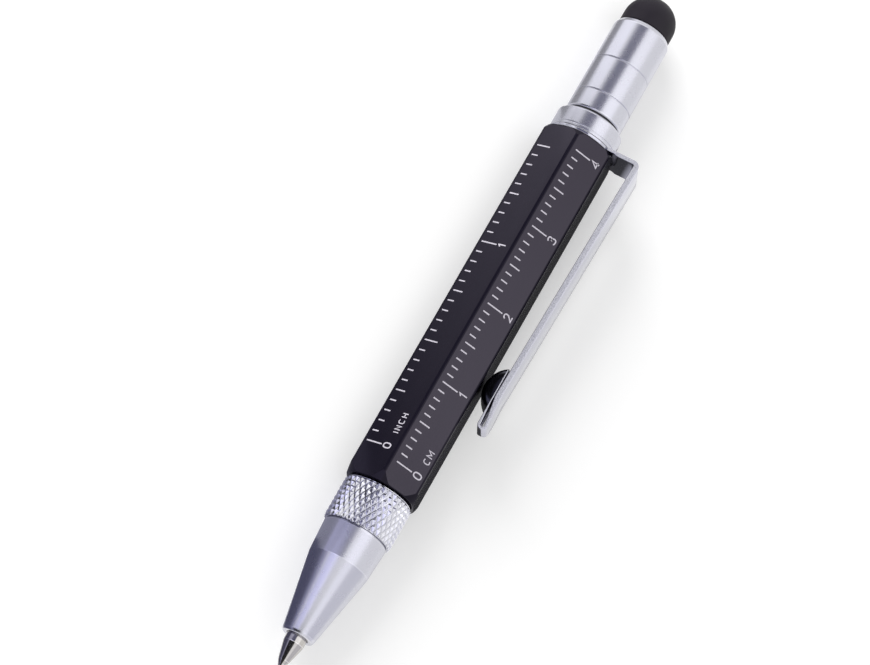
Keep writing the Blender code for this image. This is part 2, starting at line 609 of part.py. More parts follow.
def build_refill(axis, nickel, brass, plastic, steel):
    """Make the refill, the carrier that holds it and the cam pin."""
    ball = bpy.data.meshes.new("point_ball")
    bm = bmesh.new()
    bmesh.ops.create_uvsphere(bm, u_segments=SMALL_ROUND_STEPS, v_segments=SMALL_ROUND_STEPS // 2,
                              radius=BALL_RADIUS, matrix=Matrix.Translation((0, 0, BALL_RADIUS)))
    bm.to_mesh(ball)
    bm.free()
    add_object("point_ball", ball, axis, steel)

    seat_radius = BALL_RADIUS + SEAT_GAP
    seat_start = -math.acos(POINT_RIM_RADIUS / seat_radius)
    seat_end = math.acos(INK_BORE_RADIUS / seat_radius)
    seat = arc((0, BALL_RADIUS), seat_radius, seat_start, seat_end, BALL_SEAT_SEGMENTS)
    tail_radius = REFILL_RADIUS - REFILL_WALL - FIT_GAP / 2
    turn("refill_point", [
        (tail_radius, POINT_LENGTH + POINT_TAIL_LENGTH), (tail_radius, POINT_LENGTH),
        (POINT_RADIUS, POINT_LENGTH), (POINT_RADIUS, POINT_CONE_LENGTH),
        (seat_radius + POINT_RIM_WALL, BALL_RADIUS), *seat,
        (INK_BORE_RADIUS, POINT_LENGTH + POINT_TAIL_LENGTH),
    ], axis, nickel)
    add_tube("refill_tube", REFILL_RADIUS - REFILL_WALL, REFILL_RADIUS, POINT_LENGTH + SEAT_GAP,
             REFILL_BACK - SEAT_GAP, axis, brass)

    carrier = turn("refill_carrier", [
        (0, CARRIER_BACK), (CARRIER_RADIUS, CARRIER_BACK), (CARRIER_RADIUS, CARRIER_FRONT),
        (CARRIER_BORE, CARRIER_FRONT), (CARRIER_BORE, REFILL_BACK), (0, REFILL_BACK),
    ], axis, plastic)
    pin_front = -CARRIER_RADIUS / 2
    pin_hole = add_rod("cam_pin_hole", CAM_PIN_RADIUS + SEAT_GAP, pin_front - SEAT_GAP,
                       CARRIER_RADIUS + OVERRUN, axis, steps=SMALL_ROUND_STEPS)
    pin = add_rod("cam_pin", CAM_PIN_RADIUS, pin_front, CAM_SLEEVE_RADIUS - CAM_SLOT_CLEARANCE,
                  axis, steel, SMALL_ROUND_STEPS)
    for item in (pin_hole, pin):
        item.location = (0, 0, CAM_PIN_STATION)
        item.rotation_euler.y = math.pi / 2
    shape(carrier, "DIFFERENCE", pin_hole)


def build_bit(axis, steel):
    """Make the reversible bit: a slot blade in front and a cross point behind."""
    bit = add_hexagon("driver_bit", BIT_ACROSS_FLATS, BIT_FRONT, BIT_BACK, axis, steel)
    blank = turn("bit_blank", [
        (0, BIT_BACK), (BIT_TIP_RADIUS, BIT_BACK), (BIT_SHANK_RADIUS, BIT_BACK - BIT_TIP_LENGTH),
        (BIT_SHANK_RADIUS, BIT_HEX_BACK), (BIT_CORNER_REACH, BIT_HEX_BACK - BIT_CHAMFER_LENGTH),
        (BIT_CORNER_REACH, BIT_HEX_FRONT + BIT_CHAMFER_LENGTH), (BIT_SHANK_RADIUS, BIT_HEX_FRONT),
        (BIT_SHANK_RADIUS, BIT_FRONT), (0, BIT_FRONT),
    ], axis)
    shape(bit, "INTERSECT", blank)

    for side in range(2):
        flank = add_block("blade_flank", (-BIT_CORNER_REACH, 0, -OVERRUN),
                          (BIT_CORNER_REACH, BIT_CORNER_REACH, BIT_SHANK_LENGTH), axis)
        flank.matrix_local = (Matrix.Rotation(math.pi * side, 4, "Z")
                              @ Matrix.Translation((0, BLADE_THICKNESS / 2, BIT_FRONT))
                              @ Matrix.Rotation(-BLADE_TAPER, 4, "X"))
        shape(bit, "DIFFERENCE", flank)
    for quarter in range(FLUTE_COUNT):
        flute = add_block("point_flute", (0, 0, -BIT_POINT_LENGTH),
                          (BIT_CORNER_REACH, BIT_CORNER_REACH, OVERRUN), axis)
        flute.matrix_local = (Matrix.Rotation(2 * math.pi * quarter / FLUTE_COUNT, 4, "Z")
                              @ Matrix.Translation((FLUTE_WEB / 2, FLUTE_WEB / 2, BIT_BACK))
                              @ Matrix.Rotation(FLUTE_TAPER, 4, Vector((1, -1, 0))))
        shape(bit, "DIFFERENCE", flute)


def build_cap(axis, satin, rubber, plastic):
    """Make the cap's shell, the rubber dome and the plug that holds the dome."""
    turn("stylus_cap", [
        (CAP_RADIUS - CAP_TOP_CHAMFER_DEPTH, CAP_BACK), (CAP_RADIUS, CAP_BACK - CAP_TOP_CHAMFER_LENGTH),
        *groove(CAP_RADIUS, CAP_FRONT + CAP_UPPER_GROOVE_SETBACK),
        *groove(CAP_RADIUS, CAP_FRONT + CAP_LOWER_GROOVE_SETBACK),
        (CAP_RADIUS, CAP_FRONT + CAP_EDGE), (CAP_RADIUS - CAP_EDGE, CAP_FRONT),
        (CAP_BORE, CAP_FRONT), (CAP_BORE, CAP_LEDGE), (CAP_LEDGE_BORE, CAP_LEDGE),
        (CAP_LEDGE_BORE, CAP_BACK),
    ], axis, satin)

    skirt_front = DOME_BASE - SKIRT_LENGTH
    skirt_bore = SKIRT_RADIUS - SKIRT_WALL
    dome_bore = DOME_RADIUS - DOME_WALL
    turn("stylus_dome", [
        *arc((0, DOME_CENTRE), DOME_RADIUS, math.pi / 2, 0, DOME_ARC_SEGMENTS),
        (DOME_RADIUS, DOME_BASE), (SKIRT_RADIUS, DOME_BASE), (SKIRT_RADIUS, skirt_front),
        (skirt_bore, skirt_front), (skirt_bore, DOME_CENTRE),
        *arc((0, DOME_CENTRE), dome_bore, 0, math.pi / 2, DOME_ARC_SEGMENTS),
    ], axis, rubber)

    stem_radius = skirt_bore - FIT_GAP
    turn("dome_holder", [
        (0, DOME_CENTRE), (stem_radius, DOME_CENTRE), (stem_radius, CAP_LEDGE - SEAT_GAP),
        (CAP_BORE - FIT_GAP, CAP_LEDGE - SEAT_GAP), (CAP_BORE - FIT_GAP, HOLDER_FRONT),
        (0, HOLDER_FRONT),
    ], axis, plastic)


def build_cap_seal(axis, rubber):
    """Make the thin washer between the collar and the cap."""
    add_tube("cap_seal", NECK_RADIUS + FIT_GAP, SEAL_RADIUS, COLLAR_BACK + SEAT_GAP,
             CAP_FRONT - SEAT_GAP, axis, rubber)


def build_clip_ring(axis, chrome):
    """Make the ring under the collar, with the tab that the clip grows from."""
    half_width = CLIP_WIDTH / 2
    tab_turn = math.asin(half_width / CLIP_RING_RADIUS)
    rim = arc((0, 0), CLIP_RING_RADIUS, tab_turn, 2 * math.pi - tab_turn, CLIP_RING_SEGMENTS)
    reach = HEX_APOTHEM + CLIP_TAB_REACH
    outline = [*rim, (reach, -half_width), (reach, half_width)]
    hole = arc((0, 0), CLIP_RING_BORE, 0, 2 * math.pi, CLIP_RING_SEGMENTS)[:-1]
    place = Matrix.Translation((0, 0, (CLIP_RING_FRONT + CLIP_RING_BACK) / 2))
    ring = add_plate("clip_ring", [outline, hole], CLIP_THICKNESS, place, axis, chrome)
    ring.rotation_euler.z = CLIP_FACE_TURN


def offset_outline(line, distance):
    """Return the closed outline of a strip that follows a line at a distance on each side."""
    points = [Vector(point) for point in line]
    left, right = [], []
    for index, point in enumerate(points):
        before = points[max(index - 1, 0)]
        after = points[min(index + 1, len(points) - 1)]
        into = (point - before).normalized() if index else (after - point).normalized()
        out = (after - point).normalized() if index < len(points) - 1 else into
        mid = (into + out).normalized()
        normal = Vector((-mid.y, mid.x)) * (distance / mid.dot(into))
        left.append(tuple(point + normal))
        right.append(tuple(point - normal))
    return left + right[::-1]


def clip_centre_line():
    """Return the clip's centre line as (height, station) points, from the tab to the end of its hem."""
    half = CLIP_THICKNESS / 2
    ring_station = (CLIP_RING_FRONT + CLIP_RING_BACK) / 2
    top = HEX_APOTHEM + CLIP_RISE_TOP - half
    low = HEX_APOTHEM + CLIP_RISE_LOW - half
    end = HEX_APOTHEM + CLIP_RISE_END - half
    bend = CLIP_BEND_RADIUS - half
    end_station = ring_station - CLIP_LENGTH
    low_station = end_station + CLIP_LOW_SETBACK
    fold_station = end_station + CLIP_FOLD_RADIUS + half
    hem_end = end_station + CLIP_NUB_SETBACK + CLIP_NUB_LENGTH

    start = (HEX_APOTHEM + CLIP_TAB_REACH + CLIP_SPLIT_GAP, ring_station)
    corner = arc((top - bend, ring_station - bend), bend, math.pi / 2, 0, CLIP_BEND_SEGMENTS)
    fold = arc((end - CLIP_FOLD_RADIUS, fold_station), CLIP_FOLD_RADIUS, 0, -math.pi, CLIP_FOLD_SEGMENTS)
    slope = (top - low) / (ring_station - bend - low_station)
    leaf = low - 2 * CLIP_FOLD_RADIUS
    hem = [(leaf, low_station), (leaf + slope * (hem_end - low_station), hem_end)]
    return [start, *corner, (low, low_station), *fold, *hem]


def clip_outline():
    """Return the clip's closed outline: a strip with a hem, whose inner leaf carries a rounded nub."""
    strip = offset_outline(clip_centre_line(), CLIP_THICKNESS / 2)
    count = len(strip) // 2
    end_station = (CLIP_RING_FRONT + CLIP_RING_BACK) / 2 - CLIP_LENGTH
    base = HEX_APOTHEM + CLIP_RISE_LOW - 2 * CLIP_FOLD_RADIUS - CLIP_THICKNESS
    floor = HEX_APOTHEM + FIT_GAP
    sag = base - floor
    radius = ((CLIP_NUB_LENGTH / 2) ** 2 + sag ** 2) / (2 * sag)
    centre = (floor + radius, end_station + CLIP_NUB_SETBACK + CLIP_NUB_LENGTH / 2)
    spread = math.asin(CLIP_NUB_LENGTH / 2 / radius)
    nub = arc(centre, radius, math.pi + spread, math.pi - spread, CLIP_NUB_SEGMENTS)
    return [*strip[:count - 2], *nub, *strip[count:]]


def build_clip(axis, chrome):
    """Make the sprung clip: a bent strip with a rounded, folded end and a contact nub."""
    hinge_height = HEX_APOTHEM + CLIP_TAB_REACH + CLIP_SPLIT_GAP / 2
    ring_station = (CLIP_RING_FRONT + CLIP_RING_BACK) / 2
    hinge = Matrix.Rotation(CLIP_FACE_TURN, 4, "Z") @ Matrix.Translation((hinge_height, 0, ring_station))
    axis.matrix_local = hinge
    to_hinge = Matrix.Translation((-hinge_height, 0, -ring_station))
    arm = add_plate("clip_arm", [clip_outline()], CLIP_WIDTH, to_hinge @ SIDE_PLANE, axis, chrome)

    half_width = CLIP_WIDTH / 2
    end_station = ring_station - CLIP_LENGTH
    back = CLIP_RING_BACK + OVERRUN
    side = half_width + OVERRUN
    shoulder = end_station + CLIP_END_CORNER - CLIP_TRIM_MARGIN
    middle = half_width - CLIP_END_CORNER + CLIP_TRIM_MARGIN
    down = 1.5 * math.pi
    plan = [(side, back), (-side, back), (-side, shoulder),
            *arc((-middle, shoulder), CLIP_END_CORNER, math.pi, down, ROUND_END_SEGMENTS // 2),
            *arc((middle, shoulder), CLIP_END_CORNER, down, 2 * math.pi, ROUND_END_SEGMENTS // 2),
            (side, shoulder)]
    depth = 2 * (HEX_APOTHEM + CLIP_RISE_TOP + OVERRUN)
    planform = add_plate("clip_planform", [plan], depth, to_hinge @ PLAN_PLANE, axis)
    shape(arm, "INTERSECT", planform)


def settle(pieces):
    """Give every piece its evaluated mesh, shaded smooth up to a sharp angle."""
    graph = bpy.context.evaluated_depsgraph_get()
    meshes = {piece: bpy.data.meshes.new_from_object(piece.evaluated_get(graph)) for piece in pieces}
    for piece, mesh in meshes.items():
        piece.modifiers.clear()
        piece.data = mesh
        mesh.shade_smooth()
        mesh.set_sharp_from_angle(angle=SHARP_ANGLE)


def main():
    """Build the pen from its groups."""
    lacquer = add_finish("black_lacquer", (0.03, 0.028, 0.035), 0.25, 0.0)
    satin = add_finish("satin_silver", (0.72, 0.72, 0.78), 0.35, 1.0)
    chrome = add_finish("bright_chrome", (0.82, 0.82, 0.85), 0.15, 1.0)
    steel = add_finish("tool_steel", (0.55, 0.55, 0.57), 0.3, 1.0)
    nickel = add_finish("nickel_point", (0.7, 0.68, 0.64), 0.25, 1.0)
    brass = add_finish("brass", (0.72, 0.55, 0.25), 0.35, 1.0)
    plastic = add_finish("white_acetal", (0.75, 0.75, 0.72), 0.5, 0.0)
    rubber = add_finish("black_rubber", (0.035, 0.033, 0.036), 0.8, 0.0)
    clear = add_finish("clear_acrylic", (0.75, 0.9, 0.35), 0.1, 0.0)

    pen_axis = add_axis("pen_axis")
    pen_axis.matrix_world = (Matrix.Translation((-MID_BARREL, 0, HEX_APOTHEM)) @ PEN_TURN)
    build_barrel(pen_axis, lacquer)
    build_level(pen_axis, clear, rubber)
    build_collar(pen_axis, satin)
    build_bit_socket(pen_axis, steel)
    build_cam_sleeve(pen_axis, brass)
    build_barrel_linings(pen_axis, plastic, brass)
    build_clip_ring(pen_axis, chrome)

    grip_axis = add_axis("grip_axis", pen_axis)
    build_knurled_ring(grip_axis, chrome)
    build_drive_tube(grip_axis, steel)
    build_nose(add_axis("nose_axis", grip_axis), satin)
    build_refill(add_axis("refill_axis", grip_axis), nickel, brass, plastic, steel)

    seal_axis = add_axis("seal_axis", pen_axis)
    build_cap_seal(seal_axis, rubber)
    build_cap(add_axis("cap_axis", seal_axis), satin, rubber, plastic)
    build_bit(add_axis("bit_axis", pen_axis), steel)
    build_clip(add_axis("clip_axis", pen_axis), chrome)
    settle([item for item in PIECES.objects if item.type == "MESH"])


for leftover in list(bpy.data.objects):
    bpy.data.objects.remove(leftover)

PIECES = add_collection("multi_tool_pen")
CUTTERS = add_collection("cutters")

main()
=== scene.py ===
"""Looks of the multi tool pen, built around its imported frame.

Lengths in the classes are millimetres. A place on the pen is given by its station, counted
from the writing ball along the pen, by its turn about the pen's axis from the metric rule's
face, and by its distance from the axis. The function place turns these into row coordinates.
"""

import logging
import math
from dataclasses import dataclass, field
from enum import Enum

import bmesh
import bpy
import numpy as np
from mathutils import Matrix, Vector
from numpy.typing import NDArray


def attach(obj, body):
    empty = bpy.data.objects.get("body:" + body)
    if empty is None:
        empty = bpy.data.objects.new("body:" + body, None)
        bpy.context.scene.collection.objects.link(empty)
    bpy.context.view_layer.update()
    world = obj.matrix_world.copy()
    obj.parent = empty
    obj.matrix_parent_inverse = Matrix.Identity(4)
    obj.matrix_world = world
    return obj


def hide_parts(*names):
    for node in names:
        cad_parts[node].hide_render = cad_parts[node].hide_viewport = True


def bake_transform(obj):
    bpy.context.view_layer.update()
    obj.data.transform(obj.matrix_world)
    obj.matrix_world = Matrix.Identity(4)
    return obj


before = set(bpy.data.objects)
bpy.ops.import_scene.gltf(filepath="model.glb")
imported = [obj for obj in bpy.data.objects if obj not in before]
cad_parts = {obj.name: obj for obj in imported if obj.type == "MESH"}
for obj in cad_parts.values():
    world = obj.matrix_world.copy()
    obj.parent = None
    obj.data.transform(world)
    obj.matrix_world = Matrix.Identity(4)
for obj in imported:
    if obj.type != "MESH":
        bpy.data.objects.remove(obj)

Floats = NDArray[np.float64]
Colour = tuple[float, float, float]
Corners = tuple[tuple[float, float, float], ...]
Outline = list[tuple[float, float]] | Floats
LOG = logging.getLogger("multi_tool_pen")

MM = 0.001
AXIS_HEIGHT = 3.95
MID_BARREL = 43.775
HEX_APOTHEM = 3.95
MERGE_DISTANCE = 1e-7
BARREL_SHARP = 12.0


class Face(Enum):
    """The barrel's flats that carry something, as turns in degrees from the metric rule."""

    METRIC = 0.0
    CLIP = 60.0
    LEVEL = 120.0
    INCH = -60.0

    @property
    def turn(self) -> float:
        """The turn in radians."""
        return math.radians(self.value)


def place(station: Floats | float, turn: Floats | float, radius: Floats | float,
          across: Floats | float = 0.0) -> Floats:
    """Turn places on the pen into row coordinates.

    x is the station less mid-barrel. In the plane across the pen, the point lies radius
    along the outward direction at that turn, and across along the direction in which
    the turn grows.

    Args:
        station: Distance from the writing ball along the pen, in millimetres.
        turn: Turn about the pen's axis from the metric rule's face, in radians.
        radius: Distance from the axis, in millimetres.
        across: Distance along a flat at that turn, in millimetres.

    Returns:
        An array of points in metres, with x, y and z along its last dimension.
    """
    station, turn, radius, across = np.broadcast_arrays(station, turn, radius, across)
    x = station - MID_BARREL
    y = -radius * np.sin(turn) - across * np.cos(turn)
    z = AXIS_HEIGHT + radius * np.cos(turn) - across * np.sin(turn)
    return np.stack((x, y, z), axis=-1) * MM


@dataclass
class Shell:
    """A closed skin of points in metres, its faces, and at each point a value that marks rubbed and sheared
    edges and, on some pieces, painted shade.
    """

    points: Floats
    faces: list[list[int]]
    wear_and_shade: Floats

    @staticmethod
    def joined(shells: list["Shell"]) -> "Shell":
        """Return several shells as one, with their face indices moved along.

        Args:
            shells: The shells in their order.

        Returns:
            One shell with all their points and faces.
        """
        starts = np.cumsum([0] + [len(shell.points) for shell in shells])
        faces = [[index + int(start) for index in face]
                 for shell, start in zip(shells, starts) for face in shell.faces]
        points = np.concatenate([shell.points for shell in shells])
        return Shell(points, faces, np.concatenate([shell.wear_and_shade for shell in shells]))


def loft(rings: Floats, looped: bool = False, wear_and_shade: Floats | None = None) -> Shell:
    """Skin a stack of rings.

    Point (u, v) of the surface is column v of ring u. Each ring closes on itself. The
    stack either closes too, as on a tube with a bore, or ends in a flat cap.

    Args:
        rings: Points of shape (rings, columns, 3), in metres.
        looped: Whether the last ring meets the first one.
        wear_and_shade: One wear value for each ring, from 0 to 1.

    Returns:
        The closed shell.
    """
    count, columns = rings.shape[:2]
    index = np.arange(count * columns).reshape(count, columns)
    lower = index if looped else index[:-1]
    upper = np.roll(index, -1, axis=0) if looped else index[1:]
    corners = (lower, np.roll(lower, -1, axis=1), np.roll(upper, -1, axis=1), upper)
    faces = np.stack(corners, axis=-1).reshape(-1, 4).tolist()
    if not looped:
        faces += [index[0, ::-1].tolist(), index[-1].tolist()]
    values = np.zeros(count) if wear_and_shade is None else wear_and_shade
    return Shell(rings.reshape(-1, 3), faces, np.repeat(values, columns))


def softened(outline: Outline, radius: float, looped: bool = True,
             steps: int = 4) -> tuple[Floats, Floats]:
    """Round the corners of an outline.

    Each corner P becomes the curve (1-w)^2 A + 2w(1-w) P + w^2 B, where A and B lie
    one radius before and after it, or less where the sides are short. One more point
    beyond A and B keeps the sides flat under smooth shading.

    Args:
        outline: Corner points as (radius, station) pairs, in millimetres.
        radius: How far from the corner the rounding starts.
        looped: Whether the outline closes on itself; open ends stay as they are.
        steps: Number of pieces in each curve.

    Returns:
        The rounded points and a wear value for each, which is 1 on a rounded corner.
    """
    corners = np.array(outline, float)
    before = np.roll(corners, 1, axis=0) - corners
    after = np.roll(corners, -1, axis=0) - corners
    before_length = np.linalg.norm(before, axis=1, keepdims=True)
    after_length = np.linalg.norm(after, axis=1, keepdims=True)
    reach = np.minimum(radius, 0.4 * np.minimum(before_length, after_length))
    start = before / before_length * reach
    end = after / after_length * reach
    share = np.linspace(0.0, 1.0, steps + 1)[None, :, None]
    curve = corners[:, None] + (1 - share) ** 2 * start[:, None] + share ** 2 * end[:, None]
    lead = (corners + 1.15 * start)[:, None]
    tail = (corners + 1.15 * end)[:, None]
    rounded = np.concatenate((lead, curve, tail), axis=1)
    worn_and_shaded = np.ones(rounded.shape[:2])
    worn_and_shaded[:, [0, -1]] = 0.0
    if not looped:
        rounded[[0, -1]] = corners[[0, -1]][:, None]
        worn_and_shaded[[0, -1]] = 0.0
    points = rounded.reshape(-1, 2)
    values = worn_and_shaded.reshape(-1)
    step = np.linalg.norm(points - np.roll(points, 1, axis=0), axis=1)
    kept = step > 1e-6
    kept[0] = kept[0] or not looped
    return points[kept], values[kept]


def turned(outline: Outline, radius: float = 0.05, looped: bool = True,
           columns: int = 96, height: float = 0.0, face: float = 0.0) -> Shell:
    """Turn a rounded outline about the pen's axis, or about a line parallel to it.

    Point (u, v) is outline point u carried through the angle 2 pi v about the line.

    Args:
        outline: (radius, station) pairs in millimetres.
        radius: Rounding of the outline's corners.
        looped: True for a piece with a bore, false for an outline that starts and ends
            near the line and is capped there.
        columns: Number of points around.
        height: Distance of the turning line from the pen's axis.
        face: Turn of the flat above which that line lies, in radians.

    Returns:
        The closed shell.
    """
    points, wear_and_shade = softened(outline, radius, looped)
    angle = np.linspace(0.0, 2 * math.pi, columns, endpoint=False)[None, :]
    reach = points[:, :1]
    rings = place(points[:, 1:], face, height + reach * np.cos(angle), reach * np.sin(angle))
    return loft(rings, looped, wear_and_shade)


class Graph:
    """A new material's nodes, with short calls for what the finishes share."""

    def __init__(self, name: str) -> None:
        """Start from one Principled shader.

        Args:
            name: The material's name.
        """
        self.material = bpy.data.materials.new(name)
        self.material.use_nodes = True
        self.tree = self.material.node_tree
        self.shader = self.tree.nodes["Principled BSDF"]
        self.place = self.add("TexCoord").outputs["Object"]

    def add(self, kind: str, sockets: dict[str | int, object] | None = None,
            **settings: object) -> bpy.types.Node:
        """Add a node.

        Args:
            kind: The node's type without its ShaderNode prefix.
            sockets: Values or links for its inputs, by name or number.
            **settings: Its own properties.

        Returns:
            The node.
        """
        node = self.tree.nodes.new("ShaderNode" + kind)
        for key, value in settings.items():
            setattr(node, key, value)
        for key, value in (sockets or {}).items():
            self.feed(node.inputs[key], value)
        return node

    def feed(self, socket: bpy.types.NodeSocket, value: object) -> None:
        """Link a socket to another one, or set its value.

        Args:
            socket: The input to feed.
            value: An output to link to it, or a plain value.
        """
        if isinstance(value, bpy.types.NodeSocket):
            self.tree.links.new(value, socket)
        else:
            socket.default_value = value

    def set(self, **values: object) -> None:
        """Set or link the shader's inputs, named with underscores for spaces."""
        for key, value in values.items():
            self.feed(self.shader.inputs[key.replace("_", " ")], value)

    def noise(self, size: float | tuple[float, float, float], detail: float = 2.0,
              roughness: float = 0.5) -> bpy.types.NodeSocket:
        """Return noise whose patches have a given size.

        Args:
            size: Size of the patches in millimetres, or one size each along x, y and z.
            detail: Number of finer layers in the noise.
            roughness: How much the finer layers weigh.

        Returns:
            The noise value, which lies mostly between 0.3 and 0.7.
        """
        sizes = (size,) * 3 if isinstance(size, (int, float)) else size
        scale = tuple(1 / (value * MM) for value in sizes)
        stretched = self.add("Mapping", {"Vector": self.place, "Scale": scale})
        return self.add("TexNoise", {"Vector": stretched.outputs[0], "Scale": 1.0,
                                     "Detail": detail, "Roughness": roughness}).outputs["Fac"]

    def spread(self, value: bpy.types.NodeSocket, low: float, high: float, first: float = 0.3,
               last: float = 0.7) -> bpy.types.NodeSocket:
        """Map a value from the span first to last onto the span low to high."""
        return self.add("MapRange", {"Value": value, "From Min": first, "From Max": last,
                                     "To Min": low, "To Max": high}).outputs[0]

    def mix(self, share: bpy.types.NodeSocket, first: Colour | bpy.types.NodeSocket,
            second: Colour | bpy.types.NodeSocket) -> bpy.types.NodeSocket:
        """Return a colour between two, by a share."""
        ends = [(*end, 1.0) if isinstance(end, tuple) else end for end in (first, second)]
        return self.add("Mix", {0: share, 6: ends[0], 7: ends[1]}, data_type="RGBA").outputs[2]

    def wear_and_shade(self) -> bpy.types.NodeSocket:
        """Return the value that the mesh carries: rubbed and sheared edges, and painted shade on the knurl,
        its neck and the barrel's corners.
        """
        return self.add("Attribute", attribute_name="wear_and_shade").outputs["Fac"]

    def bump(self, height: bpy.types.NodeSocket, depth: float) -> None:
        """Raise the surface by a height times a depth in millimetres."""
        node = self.add("Bump", {"Height": height, "Distance": depth * MM, "Strength": 1.0})
        self.set(Normal=node.outputs[0])


@dataclass(frozen=True)
class TurnedMetal:
    """Metal with fine turning lines around the pen, and edges rubbed brighter."""

    name: str
    slot: str
    colour: Colour
    edge_colour: Colour
    roughness: tuple[float, float] = (0.26, 0.28)
    line_width: float = 0.06
    line_length: float = 4.0
    line_depth: float = 0.0002
    patch: float = 1.6

    def build(self) -> bpy.types.Material:
        """Make the material.

        Returns:
            The material.
        """
        graph = Graph(self.name)
        lines = graph.noise((self.line_width, self.line_length, self.line_length), 3.0, 0.6)
        patches = graph.noise(self.patch, 3.0)
        worn_and_shaded = graph.wear_and_shade()
        graph.set(Metallic=1.0, Base_Color=graph.mix(worn_and_shaded, self.colour, self.edge_colour),
                  Roughness=graph.spread(patches, *self.roughness))
        graph.bump(lines, self.line_depth)
        return graph.material


@dataclass(frozen=True)
class PlatedMetal:
    """Bright plating with faint smears; its second colour and roughness go with the wear value."""

    name: str
    slot: str
    colour: Colour
    worn_colour: Colour
    roughness: tuple[float, float]
    worn_roughness: float
    grain: float
    speck_colour: Colour
    worn_metal: float = 1.0
    plain_grain: float = 0.15
    smear: tuple[float, float, float] = (2.4, 0.8, 0.8)
    speck: float = 0.08
    speck_span: tuple[float, float] = (0.42, 0.6)
    worn_spread: float = 1.3

    def build(self) -> bpy.types.Material:
        """Make the material.

        Returns:
            The material.
        """
        graph = Graph(self.name)
        smears = graph.noise(self.smear, 4.0, 0.6)
        specks = graph.noise(self.speck, 2.0)
        worn_and_shaded = graph.wear_and_shade()
        roughest = self.worn_spread * self.worn_roughness
        rough = graph.add("Mix", {0: worn_and_shaded, 2: graph.spread(smears, *self.roughness),
                                  3: graph.spread(specks, self.worn_roughness, roughest)})
        speckled = graph.mix(graph.spread(specks, 0.0, 1.0, *self.speck_span), self.worn_colour,
                             self.speck_colour)
        graph.set(Metallic=graph.spread(worn_and_shaded, 1.0, self.worn_metal, 0.0, 1.0), Roughness=rough.outputs[0],
                  Base_Color=graph.mix(worn_and_shaded, self.colour, speckled))
        graph.bump(graph.add("Math", {0: specks, 1: graph.spread(worn_and_shaded, self.plain_grain, 1.0, 0.0, 1.0)},
                             operation="MULTIPLY").outputs[0], self.grain)
        return graph.material


@dataclass(frozen=True)
class Lacquer:
    """Glossy lacquer over metal: a soft flow in the coat and faint hairlines.

    Where the mesh's mark is 1, on the corners, the chamfers and the bore, it reflects less: painted shade
    that darkens the corner lines and chamfers.
    """

    name: str
    slot: str
    colour: Colour
    flow_colour: Colour
    roughness: tuple[float, float] = (0.09, 0.14)
    tint: Colour = (1.0, 0.90, 1.08)
    shine: float = 0.43
    shaded_edge_shine: float = 0.12
    flow: tuple[float, float, float] = (3.0, 1.2, 1.2)
    flow_depth: float = 0.002
    hairline: tuple[float, float, float] = (1.5, 0.03, 0.03)

    def build(self) -> bpy.types.Material:
        """Make the material.

        Returns:
            The material.
        """
        graph = Graph(self.name)
        flow = graph.noise(self.flow, 2.0)
        hairlines = graph.noise(self.hairline, 2.0, 0.7)
        # The mark turns the reflection down on corners and chamfers: painted shade.
        graph.set(Base_Color=graph.mix(flow, self.colour, self.flow_colour),
                  Roughness=graph.spread(hairlines, *self.roughness), Specular_Tint=(*self.tint, 1.0),
                  Specular_IOR_Level=graph.spread(graph.wear_and_shade(), self.shine, self.shaded_edge_shine, 0.0, 1.0))
        graph.bump(flow, self.flow_depth)
        return graph.material


@dataclass(frozen=True)
class Ink:
    """Pad-printed ink: matt, a little uneven."""

    name: str
    slot: str
    colour: Colour
    thin_colour: Colour
    roughness: tuple[float, float] = (0.45, 0.65)
    patch: float = 0.18
    thin_span: tuple[float, float] = (0.4, 0.7)
    depth: float = 0.002

    def build(self) -> bpy.types.Material:
        """Make the material.

        Returns:
            The material.
        """
        graph = Graph(self.name)
        cover = graph.noise(self.patch, 3.0)
        thin = graph.spread(cover, 0.0, 1.0, *self.thin_span)
        graph.set(Base_Color=graph.mix(thin, self.colour, self.thin_colour),
                  Roughness=graph.spread(cover, *self.roughness))
        graph.bump(cover, self.depth)
        return graph.material


@dataclass(frozen=True)
class Moulded:
    """Moulded rubber or plastic with a fine grain."""

    name: str
    slot: str
    colour: Colour
    worn_colour: Colour
    roughness: tuple[float, float] = (0.55, 0.75)
    grain: float = 0.09
    patch: float = 1.1
    depth: float = 0.006
    specular: float = 0.5

    def build(self) -> bpy.types.Material:
        """Make the material.

        Returns:
            The material.
        """
        graph = Graph(self.name)
        grain = graph.noise(self.grain, 3.0, 0.6)
        patches = graph.noise(self.patch, 3.0)
        graph.set(Base_Color=graph.mix(graph.spread(patches, 0.0, 1.0), self.colour, self.worn_colour),
                  Roughness=graph.spread(patches, *self.roughness), Specular_IOR_Level=self.specular)
        graph.bump(grain, self.depth)
        return graph.material


@dataclass(frozen=True)
class Clear:
    """Clear acrylic or tinted fluid."""

    name: str
    slot: str
    colour: Colour
    deep_colour: Colour
    refraction: float = 1.49
    clarity: float = 1.0
    roughness: tuple[float, float] = (0.01, 0.05)
    swirl: tuple[float, float, float] = (1.5, 0.6, 0.6)

    def build(self) -> bpy.types.Material:
        """Make the material.

        Returns:
            The material.
        """
        graph = Graph(self.name)
        swirl = graph.noise(self.swirl, 2.0)
        graph.set(Base_Color=graph.mix(swirl, self.colour, self.deep_colour),
                  Roughness=graph.spread(swirl, *self.roughness), Transmission_Weight=self.clarity,
                  IOR=self.refraction)
        return graph.material


Finish = TurnedMetal | PlatedMetal | Lacquer | Ink | Moulded | Clear


